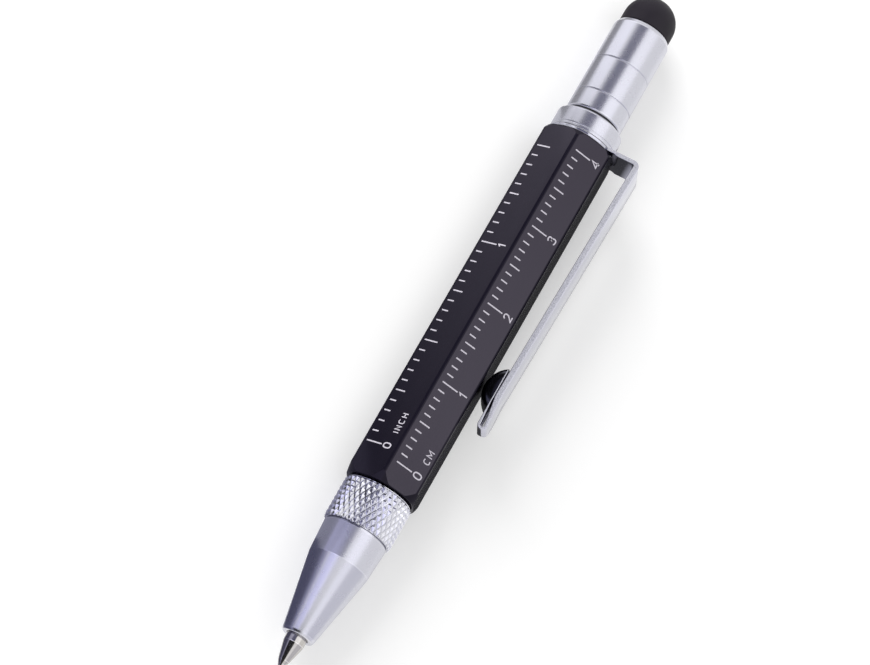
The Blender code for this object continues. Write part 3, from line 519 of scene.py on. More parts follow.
@dataclass
class Finishes:
    """Every finish of the pen, made once."""

    satin: Finish = TurnedMetal("satin_silver", "satin_silver", (0.60, 0.60, 0.66), (0.68, 0.68, 0.74))
    # The knurl's first colour, the darker one, lies in its grooves and on its neck as painted shade; the
    # second lies on the crests and plain rings.
    knurl: Finish = PlatedMetal("knurl_chrome", "knurl_chrome", (0.54, 0.54, 0.59), (0.84, 0.84, 0.89),
                                roughness=(0.12, 0.22), worn_roughness=0.17, grain=0.0004,
                                speck_colour=(0.78, 0.78, 0.84))
    chrome: Finish = PlatedMetal("clip_chrome", "clip_chrome", (0.56, 0.56, 0.64), (0.64, 0.64, 0.69),
                                 roughness=(0.10, 0.18), worn_roughness=0.40, grain=0.006,
                                 speck_colour=(0.38, 0.38, 0.43), worn_metal=0.55)
    # The nub's near-black plating is painted shade: the nub sits in the shade between barrel and clip.
    nub_painted_shade: Finish = PlatedMetal("clip_nub_painted_shade", "clip_chrome", (0.075, 0.075, 0.09),
                                     (0.11, 0.11, 0.13), roughness=(0.14, 0.24), worn_roughness=0.3,
                                     grain=0.003, speck_colour=(0.08, 0.08, 0.10))
    lacquer: Finish = Lacquer("barrel_lacquer", "barrel_lacquer", (0.0075, 0.0066, 0.0130),
                              (0.0100, 0.0086, 0.0160))
    ink: Finish = Ink("rule_ink", "barrel_lacquer", (0.60, 0.57, 0.64), (0.48, 0.46, 0.52))
    nickel: Finish = TurnedMetal("refill_nickel", "refill_nickel", (0.54, 0.52, 0.50), (0.74, 0.72, 0.70),
                                 roughness=(0.10, 0.18), line_width=0.04, line_depth=0.0003)
    steel: Finish = TurnedMetal("tool_steel", "tool_steel", (0.50, 0.50, 0.53), (0.66, 0.66, 0.69),
                                roughness=(0.24, 0.36), line_width=0.05, line_depth=0.0006)
    brass: Finish = TurnedMetal("brass", "brass", (0.72, 0.53, 0.24), (0.85, 0.68, 0.38),
                                roughness=(0.20, 0.32), line_width=0.05, line_depth=0.0006)
    acetal: Finish = Moulded("white_acetal", "white_acetal", (0.74, 0.74, 0.70), (0.66, 0.66, 0.62),
                             roughness=(0.4, 0.55), grain=0.2, depth=0.002)
    dome: Finish = Moulded("stylus_rubber", "stylus_rubber", (0.011, 0.0085, 0.014), (0.015, 0.0115, 0.018),
                           roughness=(0.50, 0.66), depth=0.003, specular=0.25)
    seal: Finish = Moulded("black_rubber", "black_rubber", (0.018, 0.018, 0.020), (0.028, 0.028, 0.030))
    acrylic: Finish = Clear("clear_acrylic", "level_clear", (0.98, 0.99, 0.97), (0.94, 0.96, 0.92))
    fluid: Finish = Clear("level_fluid", "level_clear", (0.62, 0.92, 0.10), (0.52, 0.86, 0.06),
                          refraction=1.33, clarity=0.5)
    air: Finish = Clear("level_bubble", "level_clear", (0.93, 1.0, 0.66), (0.88, 0.98, 0.58),
                        refraction=1.7, clarity=0.15)
    made: dict[str, bpy.types.Material] = field(default_factory=dict)

    def material(self, finish: Finish) -> bpy.types.Material:
        """Return a finish's material, and build it the first time.

        Args:
            finish: One of the finishes above.

        Returns:
            Its material.
        """
        if finish.name not in self.made:
            self.made[finish.name] = finish.build()
        return self.made[finish.name]


FINISHES = Finishes()


def weld(mesh: bpy.types.Mesh, sharp: float) -> None:
    """Merge a mesh's doubles, turn its faces outwards and shade it smooth up to a sharp angle.

    Args:
        mesh: The mesh to change.
        sharp: Angle in degrees from which an edge stays sharp.
    """
    bm = bmesh.new()
    bm.from_mesh(mesh)
    bmesh.ops.remove_doubles(bm, verts=bm.verts, dist=MERGE_DISTANCE)
    bmesh.ops.recalc_face_normals(bm, faces=bm.faces)
    bm.to_mesh(mesh)
    bm.free()
    mesh.shade_smooth()
    mesh.set_sharp_from_angle(angle=math.radians(sharp))


def mesh_of(name: str, shell: Shell, sharp: float) -> bpy.types.Mesh:
    """Make a mesh with outward faces and smooth shading up to a sharp angle.

    Args:
        name: The mesh's name.
        shell: Points, faces and wear.
        sharp: Angle in degrees from which an edge stays sharp.

    Returns:
        The mesh.
    """
    mesh = bpy.data.meshes.new(name)
    mesh.from_pydata(shell.points.tolist(), [], shell.faces)
    mesh.attributes.new("wear_and_shade", "FLOAT", "POINT").data.foreach_set("value", shell.wear_and_shade.astype(np.float32))
    weld(mesh, sharp)
    return mesh


def enter(mesh: bpy.types.Mesh, finish: Finish, body: str | None, nodes: tuple[str, ...]) -> bpy.types.Object:
    """Put a mesh in the scene as a piece of the same name.

    Args:
        mesh: Its mesh, without a material.
        finish: What it is made of.
        nodes: CAD nodes that it stands for.

    Returns:
        The object.
    """
    mesh.materials.append(FINISHES.material(finish))
    item = bpy.data.objects.new(mesh.name, mesh)
    bpy.context.scene.collection.objects.link(item)
    if body:
        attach(item, body)
    if nodes:
        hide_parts(*nodes)
    LOG.info("%s: %d points, %s", item.name, len(mesh.vertices), finish.name)
    return item


def add_piece(name: str, shells: Shell | list[Shell], finish: Finish, body: str | None,
              nodes: tuple[str, ...] = (), sharp: float = 28.0) -> bpy.types.Object:
    """Make a piece from one shell, or from several that belong together.

    Args:
        name: The piece's name.
        shells: Its shell or shells.
        finish: What it is made of.
        nodes: CAD nodes that it stands for.
        sharp: Angle in degrees from which an edge stays sharp.

    Returns:
        The object.
    """
    shell = shells if isinstance(shells, Shell) else Shell.joined(shells)
    return enter(mesh_of(name, shell, sharp), finish, body, nodes)


def dress(node: str, finish: Finish) -> None:
    """Give a CAD node that stays a finish.

    Args:
        node: The node's name.
        finish: What it is made of.
    """
    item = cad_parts[node]
    item.data.materials.clear()
    item.data.materials.append(FINISHES.material(finish))
    LOG.info("%s keeps its form, %s", node, finish.name)


def smoothed_copy(name: str, node: str, finish: Finish, body: str, sharp: float = 25.0) -> None:
    """Put a copy of a CAD node in its place, with its doubles merged and its round faces smooth.

    Args:
        name: The new piece's name.
        node: The CAD node that it copies and stands for.
        finish: What it is made of.
        body: The CAD body that it rides on.
        sharp: Angle in degrees from which an edge stays sharp.
    """
    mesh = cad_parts[node].data.copy()
    mesh.name = name
    mesh.materials.clear()
    if "custom_normal" in mesh.attributes:
        mesh.attributes.remove(mesh.attributes["custom_normal"])
    mesh.attributes.new("wear_and_shade", "FLOAT", "POINT")
    weld(mesh, sharp)
    enter(mesh, finish, body, (node,))


@dataclass
class Barrel:
    """The hexagonal barrel in black lacquer."""

    front: float = 21.35
    back: float = 66.2
    corner_radius: float = 0.38
    chamfer_depths: tuple[float, float] = (0.44, 0.34)
    chamfer_lengths: tuple[float, float] = (1.15, 0.65)
    edge: float = 0.05
    corner_steps: int = 8
    flat_steps: int = 22
    flat_ends: tuple[float, float] = (0.01, 0.99)
    flat_span: tuple[float, float] = (0.03, 0.97)
    bore: tuple[tuple[float, float], ...] = ((21.35, 2.2), (24.45, 2.2), (24.45, 1.6), (43.55, 1.6),
                                             (43.55, 3.0), (66.2, 3.0))

    def outline(self) -> tuple[Floats, Floats]:
        """Return the hexagon's outline as turns and distances from the axis.

        Corner k is an arc about a centre that lies on the corner's own direction. The
        flat after it is straight, from the end of that arc to the start of the next.

        Returns:
            The turn of each point in radians, and its distance from the axis.
        """
        corner = np.radians(30.0 + 60.0 * np.arange(6))[:, None]
        bend = np.radians(np.linspace(-30.0, 30.0, self.corner_steps + 1))[None, :]
        centre = (HEX_APOTHEM - self.corner_radius) / math.cos(math.pi / 6)
        across = centre * np.sin(corner) + self.corner_radius * np.sin(corner + bend)
        up = centre * np.cos(corner) + self.corner_radius * np.cos(corner + bend)
        steps = np.linspace(*self.flat_span, self.flat_steps)
        share = np.concatenate((self.flat_ends[:1], steps, self.flat_ends[1:]))[None, :]
        next_across = np.roll(across[:, :1], -1, axis=0)
        next_up = np.roll(up[:, :1], -1, axis=0)
        across = np.concatenate((across, across[:, -1:] + (next_across - across[:, -1:]) * share), axis=1)
        up = np.concatenate((up, up[:, -1:] + (next_up - up[:, -1:]) * share), axis=1)
        return np.arctan2(across, up).reshape(-1), np.hypot(across, up).reshape(-1)

    def end_rings(self, turn: Floats, reach: Floats, outward: int) -> Floats:
        """Return the rings from the middle to one end, where a cone trims the corners.

        The cone's radius grows along the pen by depth over length. Each column meets
        it where the hexagon's distance from the axis equals the cone's radius.

        Args:
            turn: The outline's turns.
            reach: The outline's distances from the axis.
            outward: 1 for the back end and -1 for the front end.

        Returns:
            Four rings of points, the last one on the end face.
        """
        end = self.back if outward > 0 else self.front
        depth = self.chamfer_depths[outward > 0]
        slope = depth / self.chamfer_lengths[outward > 0]
        end_radius = reach.max() - depth
        trimmed = np.minimum(reach, end_radius)
        meeting = np.maximum((reach - end_radius) / slope, 1.5 * self.edge)
        inset = np.stack((meeting + self.edge, meeting, np.full_like(reach, self.edge), np.zeros_like(reach)))
        radius = np.stack((reach, reach, np.minimum(reach, trimmed + self.edge * slope), trimmed - self.edge))
        return place(end - outward * inset, turn, radius)

    def shell(self) -> Shell:
        """Return the barrel with its stepped bore.

        The mesh's mark is 1 on the corners, the chamfers and the bore, where the lacquer reflects less as
        painted shade. Of the outer rings, the two in the middle bound the flats, and only their corners are
        marked.

        Returns:
            The closed shell.
        """
        turn, reach = self.outline()
        outer = np.concatenate((self.end_rings(turn, reach, -1)[::-1], self.end_rings(turn, reach, 1)))
        inner = [place(station, turn, np.full_like(turn, radius)) for station, radius in reversed(self.bore)]
        shell = loft(np.concatenate((outer, np.stack(inner))), looped=True)
        worn_and_shaded = np.ones((len(outer) + len(inner), len(turn)))
        middle = len(outer) // 2
        worn_and_shaded[middle - 1:middle + 1] = np.tile(np.arange(len(turn) // 6) <= self.corner_steps, 6)
        shell.wear_and_shade = worn_and_shaded.reshape(-1)
        return shell

    def build(self) -> None:
        """Make the barrel and cut the level's pocket into it."""
        barrel = add_piece("barrel_shell", self.shell(), FINISHES.lacquer, "barrel", ("hex_barrel",),
                           BARREL_SHARP)
        Level().cut_pocket(barrel)


@dataclass
class Glyphs:
    """A plain stroke lettering for the rules: each sign is drawn with one pen width.

    A bowl is a rounded oval: x = a sgn(cos) |cos|^p and y = b sgn(sin) |sin|^p.
    """

    stroke: float
    thickness: float
    squareness: float = 0.78
    mitre: float = 0.45
    lift_step: float = 0.001
    lifts: int = 3

    def bowl(self, centre: tuple[float, float], size: tuple[float, float], start: float,
             end: float, steps: int = 22) -> list[tuple[float, float]]:
        """Return points along part of a rounded oval.

        Args:
            centre: The oval's middle.
            size: Its half width a and half height b.
            start: Angle in degrees where the stroke starts.
            end: Angle in degrees where it ends.
            steps: Number of pieces in the stroke.

        Returns:
            The points, for a sign of height 1.
        """
        angle = np.radians(np.linspace(start, end, steps + 1))
        x = centre[0] + size[0] * np.sign(np.cos(angle)) * np.abs(np.cos(angle)) ** self.squareness
        y = centre[1] + size[1] * np.sign(np.sin(angle)) * np.abs(np.sin(angle)) ** self.squareness
        return list(zip(x.tolist(), y.tolist()))

    def strokes(self, sign: str) -> tuple[float, list[list[tuple[float, float]]]]:
        """Return how a sign is drawn, for a height of 1.

        Args:
            sign: One digit or letter.

        Returns:
            Its width, and its strokes as lists of points.
        """
        signs = {
            "0": (0.62, [self.bowl((0.31, 0.5), (0.31, 0.5), 0.0, 360.0, 36)]),
            "1": (0.30, [[(0.0, 0.76), (0.26, 1.0), (0.26, 0.0)]]),
            "2": (0.60, [self.bowl((0.29, 0.70), (0.27, 0.30), 170.0, -35.0) + [(0.02, 0.0), (0.60, 0.0)]]),
            "3": (0.60, [self.bowl((0.28, 0.745), (0.26, 0.255), 160.0, -90.0)
                         + self.bowl((0.28, 0.255), (0.31, 0.255), 90.0, -160.0)]),
            "4": (0.66, [[(0.48, 0.0), (0.48, 1.0), (0.0, 0.26), (0.66, 0.26)]]),
            "C": (0.64, [self.bowl((0.34, 0.5), (0.34, 0.5), 48.0, 312.0, 30)]),
            "M": (0.88, [[(0.0, 0.0), (0.0, 1.0), (0.44, 0.30), (0.88, 1.0), (0.88, 0.0)]]),
            "I": (0.0, [[(0.0, 0.0), (0.0, 1.0)]]),
            "N": (0.62, [[(0.0, 0.0), (0.0, 1.0), (0.62, 0.0), (0.62, 1.0)]]),
            "H": (0.60, [[(0.0, 0.0), (0.0, 1.0)], [(0.60, 0.0), (0.60, 1.0)], [(0.0, 0.5), (0.60, 0.5)]]),
        }
        return signs[sign]

    def ribbon(self, path: Floats, face: Face, lift: float) -> Shell:
        """Carry a flat section along a path of (station, across) points on a flat.

        Each ring stands on the line that halves the corner, so that the stroke keeps
        its width. It closes on itself where the path does.

        Args:
            path: The points of the stroke's middle line.
            face: The flat that it stands on.
            lift: How much higher than the flat it lies.

        Returns:
            The closed shell.
        """
        looped = bool(np.allclose(path[0], path[-1]))
        line = path[:-1] if looped else path
        ahead = np.roll(line, -1, axis=0) - line
        behind = line - np.roll(line, 1, axis=0)
        if not looped:
            ahead[-1] = behind[-1]
            behind[0] = ahead[0]
        ahead /= np.linalg.norm(ahead, axis=1, keepdims=True)
        behind /= np.linalg.norm(behind, axis=1, keepdims=True)
        middle = ahead + behind
        middle /= np.linalg.norm(middle, axis=1, keepdims=True)
        normal = np.stack((-middle[:, 1], middle[:, 0]), axis=1)
        stretch = 1 / np.maximum(np.sum(middle * ahead, axis=1), self.mitre)
        side = np.array([-1.0, 1.0, 1.0, -1.0])[None, :] * self.stroke / 2 * stretch[:, None]
        height = HEX_APOTHEM + lift + np.array([-1.0, -1.0, 1.0, 1.0])[None, :] * self.thickness / 2
        station = line[:, :1] + side * normal[:, :1]
        across = line[:, 1:] + side * normal[:, 1:]
        return loft(place(station, face.turn, height + 0 * station, across), looped)

    def text(self, word: str, face: Face, station: float, across: float, height: float,
             gap: float = 0.26) -> list[Shell]:
        """Return a word that reads towards the stylus, with its foot at across.

        Strokes that meet lie at different heights, so that no two faces share a plane.

        Args:
            word: The signs to draw.
            face: The flat that it stands on.
            station: Where its first sign starts.
            across: Where its foot line lies.
            height: Height of the signs in millimetres.
            gap: Space between signs, as a share of the height.

        Returns:
            One shell for each stroke.
        """
        shells: list[Shell] = []
        pen = station
        for sign in word:
            width, strokes = self.strokes(sign)
            for stroke in strokes:
                path = np.array(stroke) * height
                path = np.stack((pen + path[:, 0], across - path[:, 1]), axis=1)
                shells.append(self.ribbon(path, face, self.lift_step * (len(shells) % self.lifts)))
            pen += (width + gap) * height
        return shells


BLOCK_CORNERS = np.array([(-1, 0, -1), (1, 0, -1), (1, 1, -1), (-1, 1, -1),
                          (-1, 0, 1), (1, 0, 1), (1, 1, 1), (-1, 1, 1)], float)
BLOCK_FACES = np.array([(0, 1, 2, 3), (4, 7, 6, 5), (0, 4, 5, 1), (1, 5, 6, 2), (2, 6, 7, 3), (3, 7, 4, 0)])


@dataclass
class Rule:
    """A printed rule on one flat: ticks, numbers and the unit's name."""

    name: str
    face: Face
    zero: float
    pitch: float
    count: int
    start: float
    lengths: dict[int, float]
    numbers: dict[int, str]
    number_foot: float
    number_height: float
    unit: str
    unit_station: float
    unit_foot: float
    unit_height: float
    line: float = 0.15
    unit_line: float = 0.115
    unit_gap: float = 0.5
    thickness: float = 0.015

    def ticks(self) -> Shell:
        """Return all ticks as one shell of flat blocks.

        Tick i stands at zero plus i pitches. Its length is that of the largest group
        whose number divides i.

        Returns:
            The blocks as one shell.
        """
        number = np.arange(self.count + 1)
        length = np.zeros(len(number))
        for group, reach in sorted(self.lengths.items()):
            length[number % group == 0] = reach
        station = self.zero + self.pitch * number
        corner = BLOCK_CORNERS[None]
        along = station[:, None] + corner[:, :, 0] * self.line / 2
        across = self.start + corner[:, :, 1] * length[:, None]
        height = HEX_APOTHEM + corner[:, :, 2] * self.thickness / 2 + 0 * along
        points = place(along, self.face.turn, height, across).reshape(-1, 3)
        faces = (BLOCK_FACES + len(BLOCK_CORNERS) * number[:, None, None]).reshape(-1, 4).tolist()
        return Shell(points, faces, np.zeros(len(points)))

    def build(self) -> None:
        """Make the print."""
        glyphs = Glyphs(self.line, self.thickness)
        shells = [self.ticks()]
        for number, sign in self.numbers.items():
            width = glyphs.strokes(sign)[0] * self.number_height
            station = self.zero + self.pitch * number - width / 2
            shells += glyphs.text(sign, self.face, station, self.number_foot, self.number_height)
        letters = Glyphs(self.unit_line, self.thickness)
        shells += letters.text(self.unit, self.face, self.unit_station, self.unit_foot, self.unit_height,
                               self.unit_gap)
        add_piece(self.name, shells, FINISHES.ink, "barrel")


@dataclass
class Nose:
    """The turned nose in satin silver."""

    mouth: float = 3.6
    base: float = 16.0
    crease: float = 12.4
    mouth_radius: float = 1.8
    crease_radius: float = 3.41
    base_radius: float = 3.62
    hole: float = 1.225
    chamber: float = 1.475
    socket: float = 2.7
    socket_front: float = 13.0
    lip: float = 0.26
    crease_edge: float = 0.03
    base_edge: float = 0.06
    mouth_flare: float = 0.05
    mouth_round: float = 0.08
    hole_length: float = 0.8
    chamber_front: float = 1.6
    rounding: float = 0.12

    def build(self) -> None:
        """Make the nose: a straight taper, a crisp crease, a nearly straight base and a round lip."""
        fore = (self.crease_radius - self.mouth_radius) / (self.crease - self.mouth)
        aft = (self.base_radius - self.crease_radius) / (self.base - self.crease)
        outline = [(self.base_radius, self.base),
                   (self.base_radius - aft * self.base_edge, self.base - self.base_edge),
                   (self.crease_radius + aft * self.crease_edge, self.crease + self.crease_edge),
                   (self.crease_radius - fore * self.crease_edge, self.crease - self.crease_edge),
                   (self.mouth_radius + self.mouth_flare, self.mouth + self.lip),
                   (self.mouth_radius - self.mouth_round, self.mouth), (self.hole, self.mouth),
                   (self.hole, self.mouth + self.hole_length),
                   (self.chamber, self.mouth + self.chamber_front),
                   (self.chamber, self.socket_front), (self.socket, self.socket_front),
                   (self.socket, self.base)]
        add_piece("nose_shell", turned(outline, self.rounding), FINISHES.satin, "nose", ("nose_cone",))


@dataclass
class KnurledRing:
    """The knurled twist ring, with the spigot that carries the nose and a narrow neck before the knurl."""

    front: float = 16.02
    back: float = 21.2
    front_lip: float = 0.20
    neck: float = 3.46
    back_lip: float = 0.10
    lip_radius: float = 3.7
    crest_radius: float = 3.9
    depth: float = 0.24
    flat_crest: float = 0.86
    front_fade: float = 0.10
    back_fade: float = 0.08
    groove_shade_height: float = 0.55
    starts: int = 34
    rows: int = 8
    fineness: int = 4
    bore: float = 1.6
    spigot: float = 2.6
    spigot_front: float = 13.05
    spigot_edge: float = 0.1
    edge: float = 0.05
    neck_foot: tuple[float, float] = (0.03, 0.01)
    lip_foot: tuple[float, float] = (0.02, 0.03)
    lip_start: float = 0.06
    sharp: float = 16.0

    def crest(self, turn: Floats, station: Floats) -> Floats:
        """Return the height of the knurl's surface, from 0 in a groove to 1 on a crest.

        Two families of V grooves run along a = Nt/2pi + s/p and b = Nt/2pi - s/p. The
        height is the smaller distance to a groove of either family, cut off near the top.

        Args:
            turn: Turns about the axis, in radians.
            station: Stations along the pen.

        Returns:
            The height at each station and turn.
        """
        pitch = 2 * (self.back - self.front - 2 * self.front_lip) / self.rows
        around = self.starts * turn / (2 * math.pi)
        along = (station - self.front - self.front_lip) / pitch
        near = [np.abs((value + 0.5) % 1 - 0.5) for value in (around + along, around - along)]
        return np.clip(2 * np.minimum(*near) / self.flat_crest, 0.0, 1.0)

    def plain_rings(self, start: float, end: float) -> tuple[Floats, Floats]:
        """Return the plain rings behind, inside and before the knurl.

        The last three form the narrow neck behind the nose, which is marked 0 and so takes the knurl's darker
        colour: painted shade for a dark line between ring and nose.

        Args:
            start: Station of the knurl's front end.
            end: Station of its back end.

        Returns:
            The rings as (radius, station), and their wear.
        """
        neck = [(self.neck, self.front), (self.neck, start - self.edge),
                (self.crest_radius - self.depth - self.neck_foot[0], start - self.neck_foot[1])]
        rings = [(self.lip_radius - self.lip_foot[0], end + self.lip_foot[1]),
                 (self.lip_radius, end + self.lip_start),
                 (self.lip_radius, self.back - self.edge), (self.lip_radius - self.edge, self.back),
                 (self.bore, self.back), (self.bore, self.spigot_front),
                 (self.spigot - self.spigot_edge, self.spigot_front),
                 (self.spigot, self.spigot_front + self.spigot_edge), (self.spigot, self.front)]
        # The neck's 0 gives it the knurl's darker colour: painted shade.
        return np.array(rings + neck), np.array([1.0] * len(rings) + [0.0] * len(neck))

    def split(self, shell: Shell, level: Floats) -> list[list[int]]:
        """Cut a shell's faces into triangles, so that the knurl's edges stay straight.

        Args:
            shell: A shell with faces of four corners.
            level: Each point's distance from the axis.

        Returns:
            The triangles; each face is cut along the diagonal whose ends differ less in level.
        """
        quads = np.array(shell.faces)
        drop = [np.abs(level[quads[:, corner]] - level[quads[:, corner + 2]]) for corner in (0, 1)]
        flip = (drop[0] > drop[1])[:, None]
        first = np.where(flip, quads[:, [0, 1, 3]], quads[:, [0, 1, 2]])
        second = np.where(flip, quads[:, [1, 2, 3]], quads[:, [0, 2, 3]])
        return np.concatenate((first, second)).tolist()

    def build(self) -> None:
        """Make the ring from plain rings at its ends and knurled rows between them."""
        columns = self.starts * 2 * self.fineness
        turn = np.linspace(0.0, 2 * math.pi, columns, endpoint=False)[None, :]
        start = self.front + self.front_lip
        end = self.back - self.back_lip
        rows = np.linspace(start, end, self.rows * self.fineness + 1)[:, None]
        fade = np.clip(np.minimum((rows - start) / self.front_fade, (end - rows) / self.back_fade), 0.0, 1.0)
        height = self.crest(turn, rows) * fade
        radius = self.crest_radius - self.depth * (1 - height)
        plain, plain_wear_and_shade = self.plain_rings(start, end)
        radii = np.concatenate((radius, np.repeat(plain[:, :1], columns, axis=1)))
        stations = np.concatenate((rows, plain[:, 1:])) + 0 * radii
        shell = loft(place(stations, turn, radii), looped=True)
        shell.faces = self.split(shell, radii.reshape(-1))
        # Grooves get 0 and the darker colour as painted shade; crests get 1 and the lighter colour.
        knurled = np.clip(height / self.groove_shade_height, 0.0, 1.0)
        shell.wear_and_shade = np.concatenate((knurled.reshape(-1), np.repeat(plain_wear_and_shade, columns)))
        add_piece("knurl_sleeve", shell, FINISHES.knurl, "grip", ("knurled_ring",), self.sharp)


def hollow(radius: float, bore: float, front: float, back: float) -> Outline:
    """Return the outline of a plain tube, washer or ring."""
    return [(radius, back), (radius, front), (bore, front), (bore, back)]


def groove(radius: float, station: float, width: float = 0.15, depth: float = 0.12) -> Outline:
    """Return the outline of a narrow groove, from its back edge to its front edge."""
    return [(radius, station + width / 2), (radius - depth, station + width / 4),
            (radius - depth, station - width / 4), (radius, station - width / 2)]


@dataclass
class Refill:
    """The refill's point, its writing ball and its ink tube.

    The ball's outline is the half circle (r sin a, r - r cos a).
    """

    ball: float = 0.32
    point_radius: float = 1.15
    cone: float = 2.8
    knee: tuple[float, float] = (0.62, 0.75)
    lip: tuple[float, float] = (0.3, 0.1)
    duct: float = 0.2
    duct_front: float = 0.62
    point_back: float = 8.5
    tail_back: float = 10.5
    tube_radius: float = 1.175
    tube_wall: float = 0.2
    tube_back: float = 46.95
    play: float = 0.05
    rounding: float = 0.04
    columns: int = 64
    ball_columns: int = 32
    ball_steps: int = 21
    ball_pole: float = 0.05

    def build(self) -> None:
        """Make the three pieces."""
        bore = self.tube_radius - self.tube_wall
        tail = bore - self.play
        seat = self.ball + self.play
        point = [(tail, self.tail_back), (tail, self.point_back), (self.point_radius, self.point_back),
                 (self.point_radius, self.cone), self.knee, (seat + self.play, self.ball), self.lip,
                 (seat, self.ball), (self.duct, self.duct_front), (self.duct, self.tail_back)]
        angle = np.linspace(self.ball_pole, math.pi - self.ball_pole, self.ball_steps)
        ball = np.stack((self.ball * np.sin(angle), self.ball * (1 - np.cos(angle))), axis=1)
        tube = hollow(self.tube_radius, bore, self.point_back + self.play, self.tube_back)
        for name, node, shell in (
                ("refill_tip", "refill_point", turned(point, self.rounding, columns=self.columns)),
                ("writing_ball", "point_ball", turned(ball, 0.0, False, self.ball_columns)),
                ("ink_tube", "refill_tube", turned(tube, self.rounding, columns=self.columns))):
            add_piece(name, shell, FINISHES.nickel, "refill", (node,))


@dataclass
class Collar:
    """The collar between barrel and cap."""

    front: float = 66.65
    back: float = 69.0
    radius: float = 3.85
    neck: float = 2.6375
    neck_back: float = 72.2
    bore: float = 2.2875
    spigot: float = 2.9
    spigot_front: float = 56.85
    bevel: tuple[float, float] = (0.17, 0.2)
    groove_place: float = 0.36
    groove_width: float = 0.12
    groove_depth: float = 0.06

    def build(self) -> None:
        """Make the collar with its groove, its neck and its spigot."""
        ring_groove = groove(self.radius, self.front + self.groove_place, self.groove_width,
                             self.groove_depth)
        outline = [(self.neck, self.neck_back), (self.neck, self.back),
                   (self.radius - self.bevel[0], self.back), (self.radius, self.back - self.bevel[1]),
                   *ring_groove,
                   (self.radius, self.front), (self.spigot, self.front), (self.spigot, self.spigot_front),
                   (self.bore, self.spigot_front), (self.bore, self.neck_back)]
        add_piece("collar_ring", turned(outline), FINISHES.satin, "barrel", ("top_collar",))


@dataclass
class StylusCap:
    """The screw cap, its rubber dome, the dome's plug and the washer below the cap."""

    front: float = 69.42
    back: float = 81.4
    radius: float = 3.3
    bore: float = 2.7375
    ledge: float = 79.0
    ledge_bore: float = 2.45
    back_bevel: tuple[float, float] = (0.24, 0.5)
    front_bevel: tuple[float, float] = (0.12, 0.16)
    lower_groove: float = 71.8
    upper_groove: float = 76.1
    washer_radius: float = 3.12
    washer_front: float = 69.05
    plug_radius: float = 2.6375
    plug_tail: float = 1.8
    plug_depth: float = 0.65
    play: float = 0.05
    dome_radius: float = 3.0
    dome_base: float = 81.45
    dome_centre: float = 82.75
    band_bevel: tuple[float, float] = (0.1, 0.12)
    band_lift: float = 0.02
    skirt: float = 2.35
    skirt_front: float = 79.45
    skirt_bore: float = 1.9
    dome_bore: float = 2.4
    dome_pole: float = 0.02
    dome_steps: int = 25
    dome_columns: int = 96
    dome_sharp: float = 40.0
    plug_columns: int = 64
    rounding: float = 0.06
    washer_rounding: float = 0.03

    def build(self) -> None:
        """Make the four pieces."""
        outline = [(self.radius - self.back_bevel[0], self.back),
                   (self.radius, self.back - self.back_bevel[1]),
                   *groove(self.radius, self.upper_groove), *groove(self.radius, self.lower_groove),
                   (self.radius, self.front + self.front_bevel[1]),
                   (self.radius - self.front_bevel[0], self.front),
                   (self.bore, self.front), (self.bore, self.ledge), (self.ledge_bore, self.ledge),
                   (self.ledge_bore, self.back)]
        add_piece("cap_shell", turned(outline, self.rounding), FINISHES.satin, "cap", ("stylus_cap",))
        self.build_dome()
        axis = 0.05
        plug_back = self.ledge - self.play
        plug_front = self.ledge - self.plug_depth
        plug = [(axis, self.dome_centre), (self.plug_tail, self.dome_centre), (self.plug_tail, plug_back),
                (self.plug_radius, plug_back), (self.plug_radius, plug_front), (axis, plug_front)]
        add_piece("dome_plug", turned(plug, looped=False, columns=self.plug_columns), FINISHES.acetal,
                  "cap", ("dome_holder",))
        washer = hollow(self.washer_radius, self.bore, self.washer_front, self.front - self.play)
        add_piece("cap_washer", turned(washer, self.washer_rounding), FINISHES.seal, "cap_seal",
                  ("cap_seal",))

    def build_dome(self) -> None:
        """Make the rubber dome: a half sphere on a short band, hollow, with a skirt.

        Point (u, v) is outline point u carried through the turn v about the axis. The dome's
        own outline is the quarter circle (r cos a, r sin a) beyond its centre.
        """
        angle = np.linspace(math.pi / 2 - self.dome_pole, 0.0, self.dome_steps)
        quarter = np.stack((np.cos(angle), np.sin(angle)), axis=1)
        outside, inside = (radius * quarter + (0.0, self.dome_centre)
                           for radius in (self.dome_radius, self.dome_bore))
        band = [(self.dome_radius, self.dome_base + self.band_bevel[1]),
                (self.dome_radius - self.band_bevel[0], self.dome_base + self.band_lift),
                (self.skirt, self.dome_base), (self.skirt, self.skirt_front),
                (self.skirt_bore, self.skirt_front), (self.skirt_bore, self.dome_centre)]
        points = np.concatenate((outside, np.array(band), inside[::-1]))
        turn = np.linspace(0.0, 2 * math.pi, self.dome_columns, endpoint=False)[None, :]
        shell = loft(place(points[:, 1:], turn, points[:, :1]))
        add_piece("rubber_dome", shell, FINISHES.dome, "cap", ("stylus_dome",), self.dome_sharp)


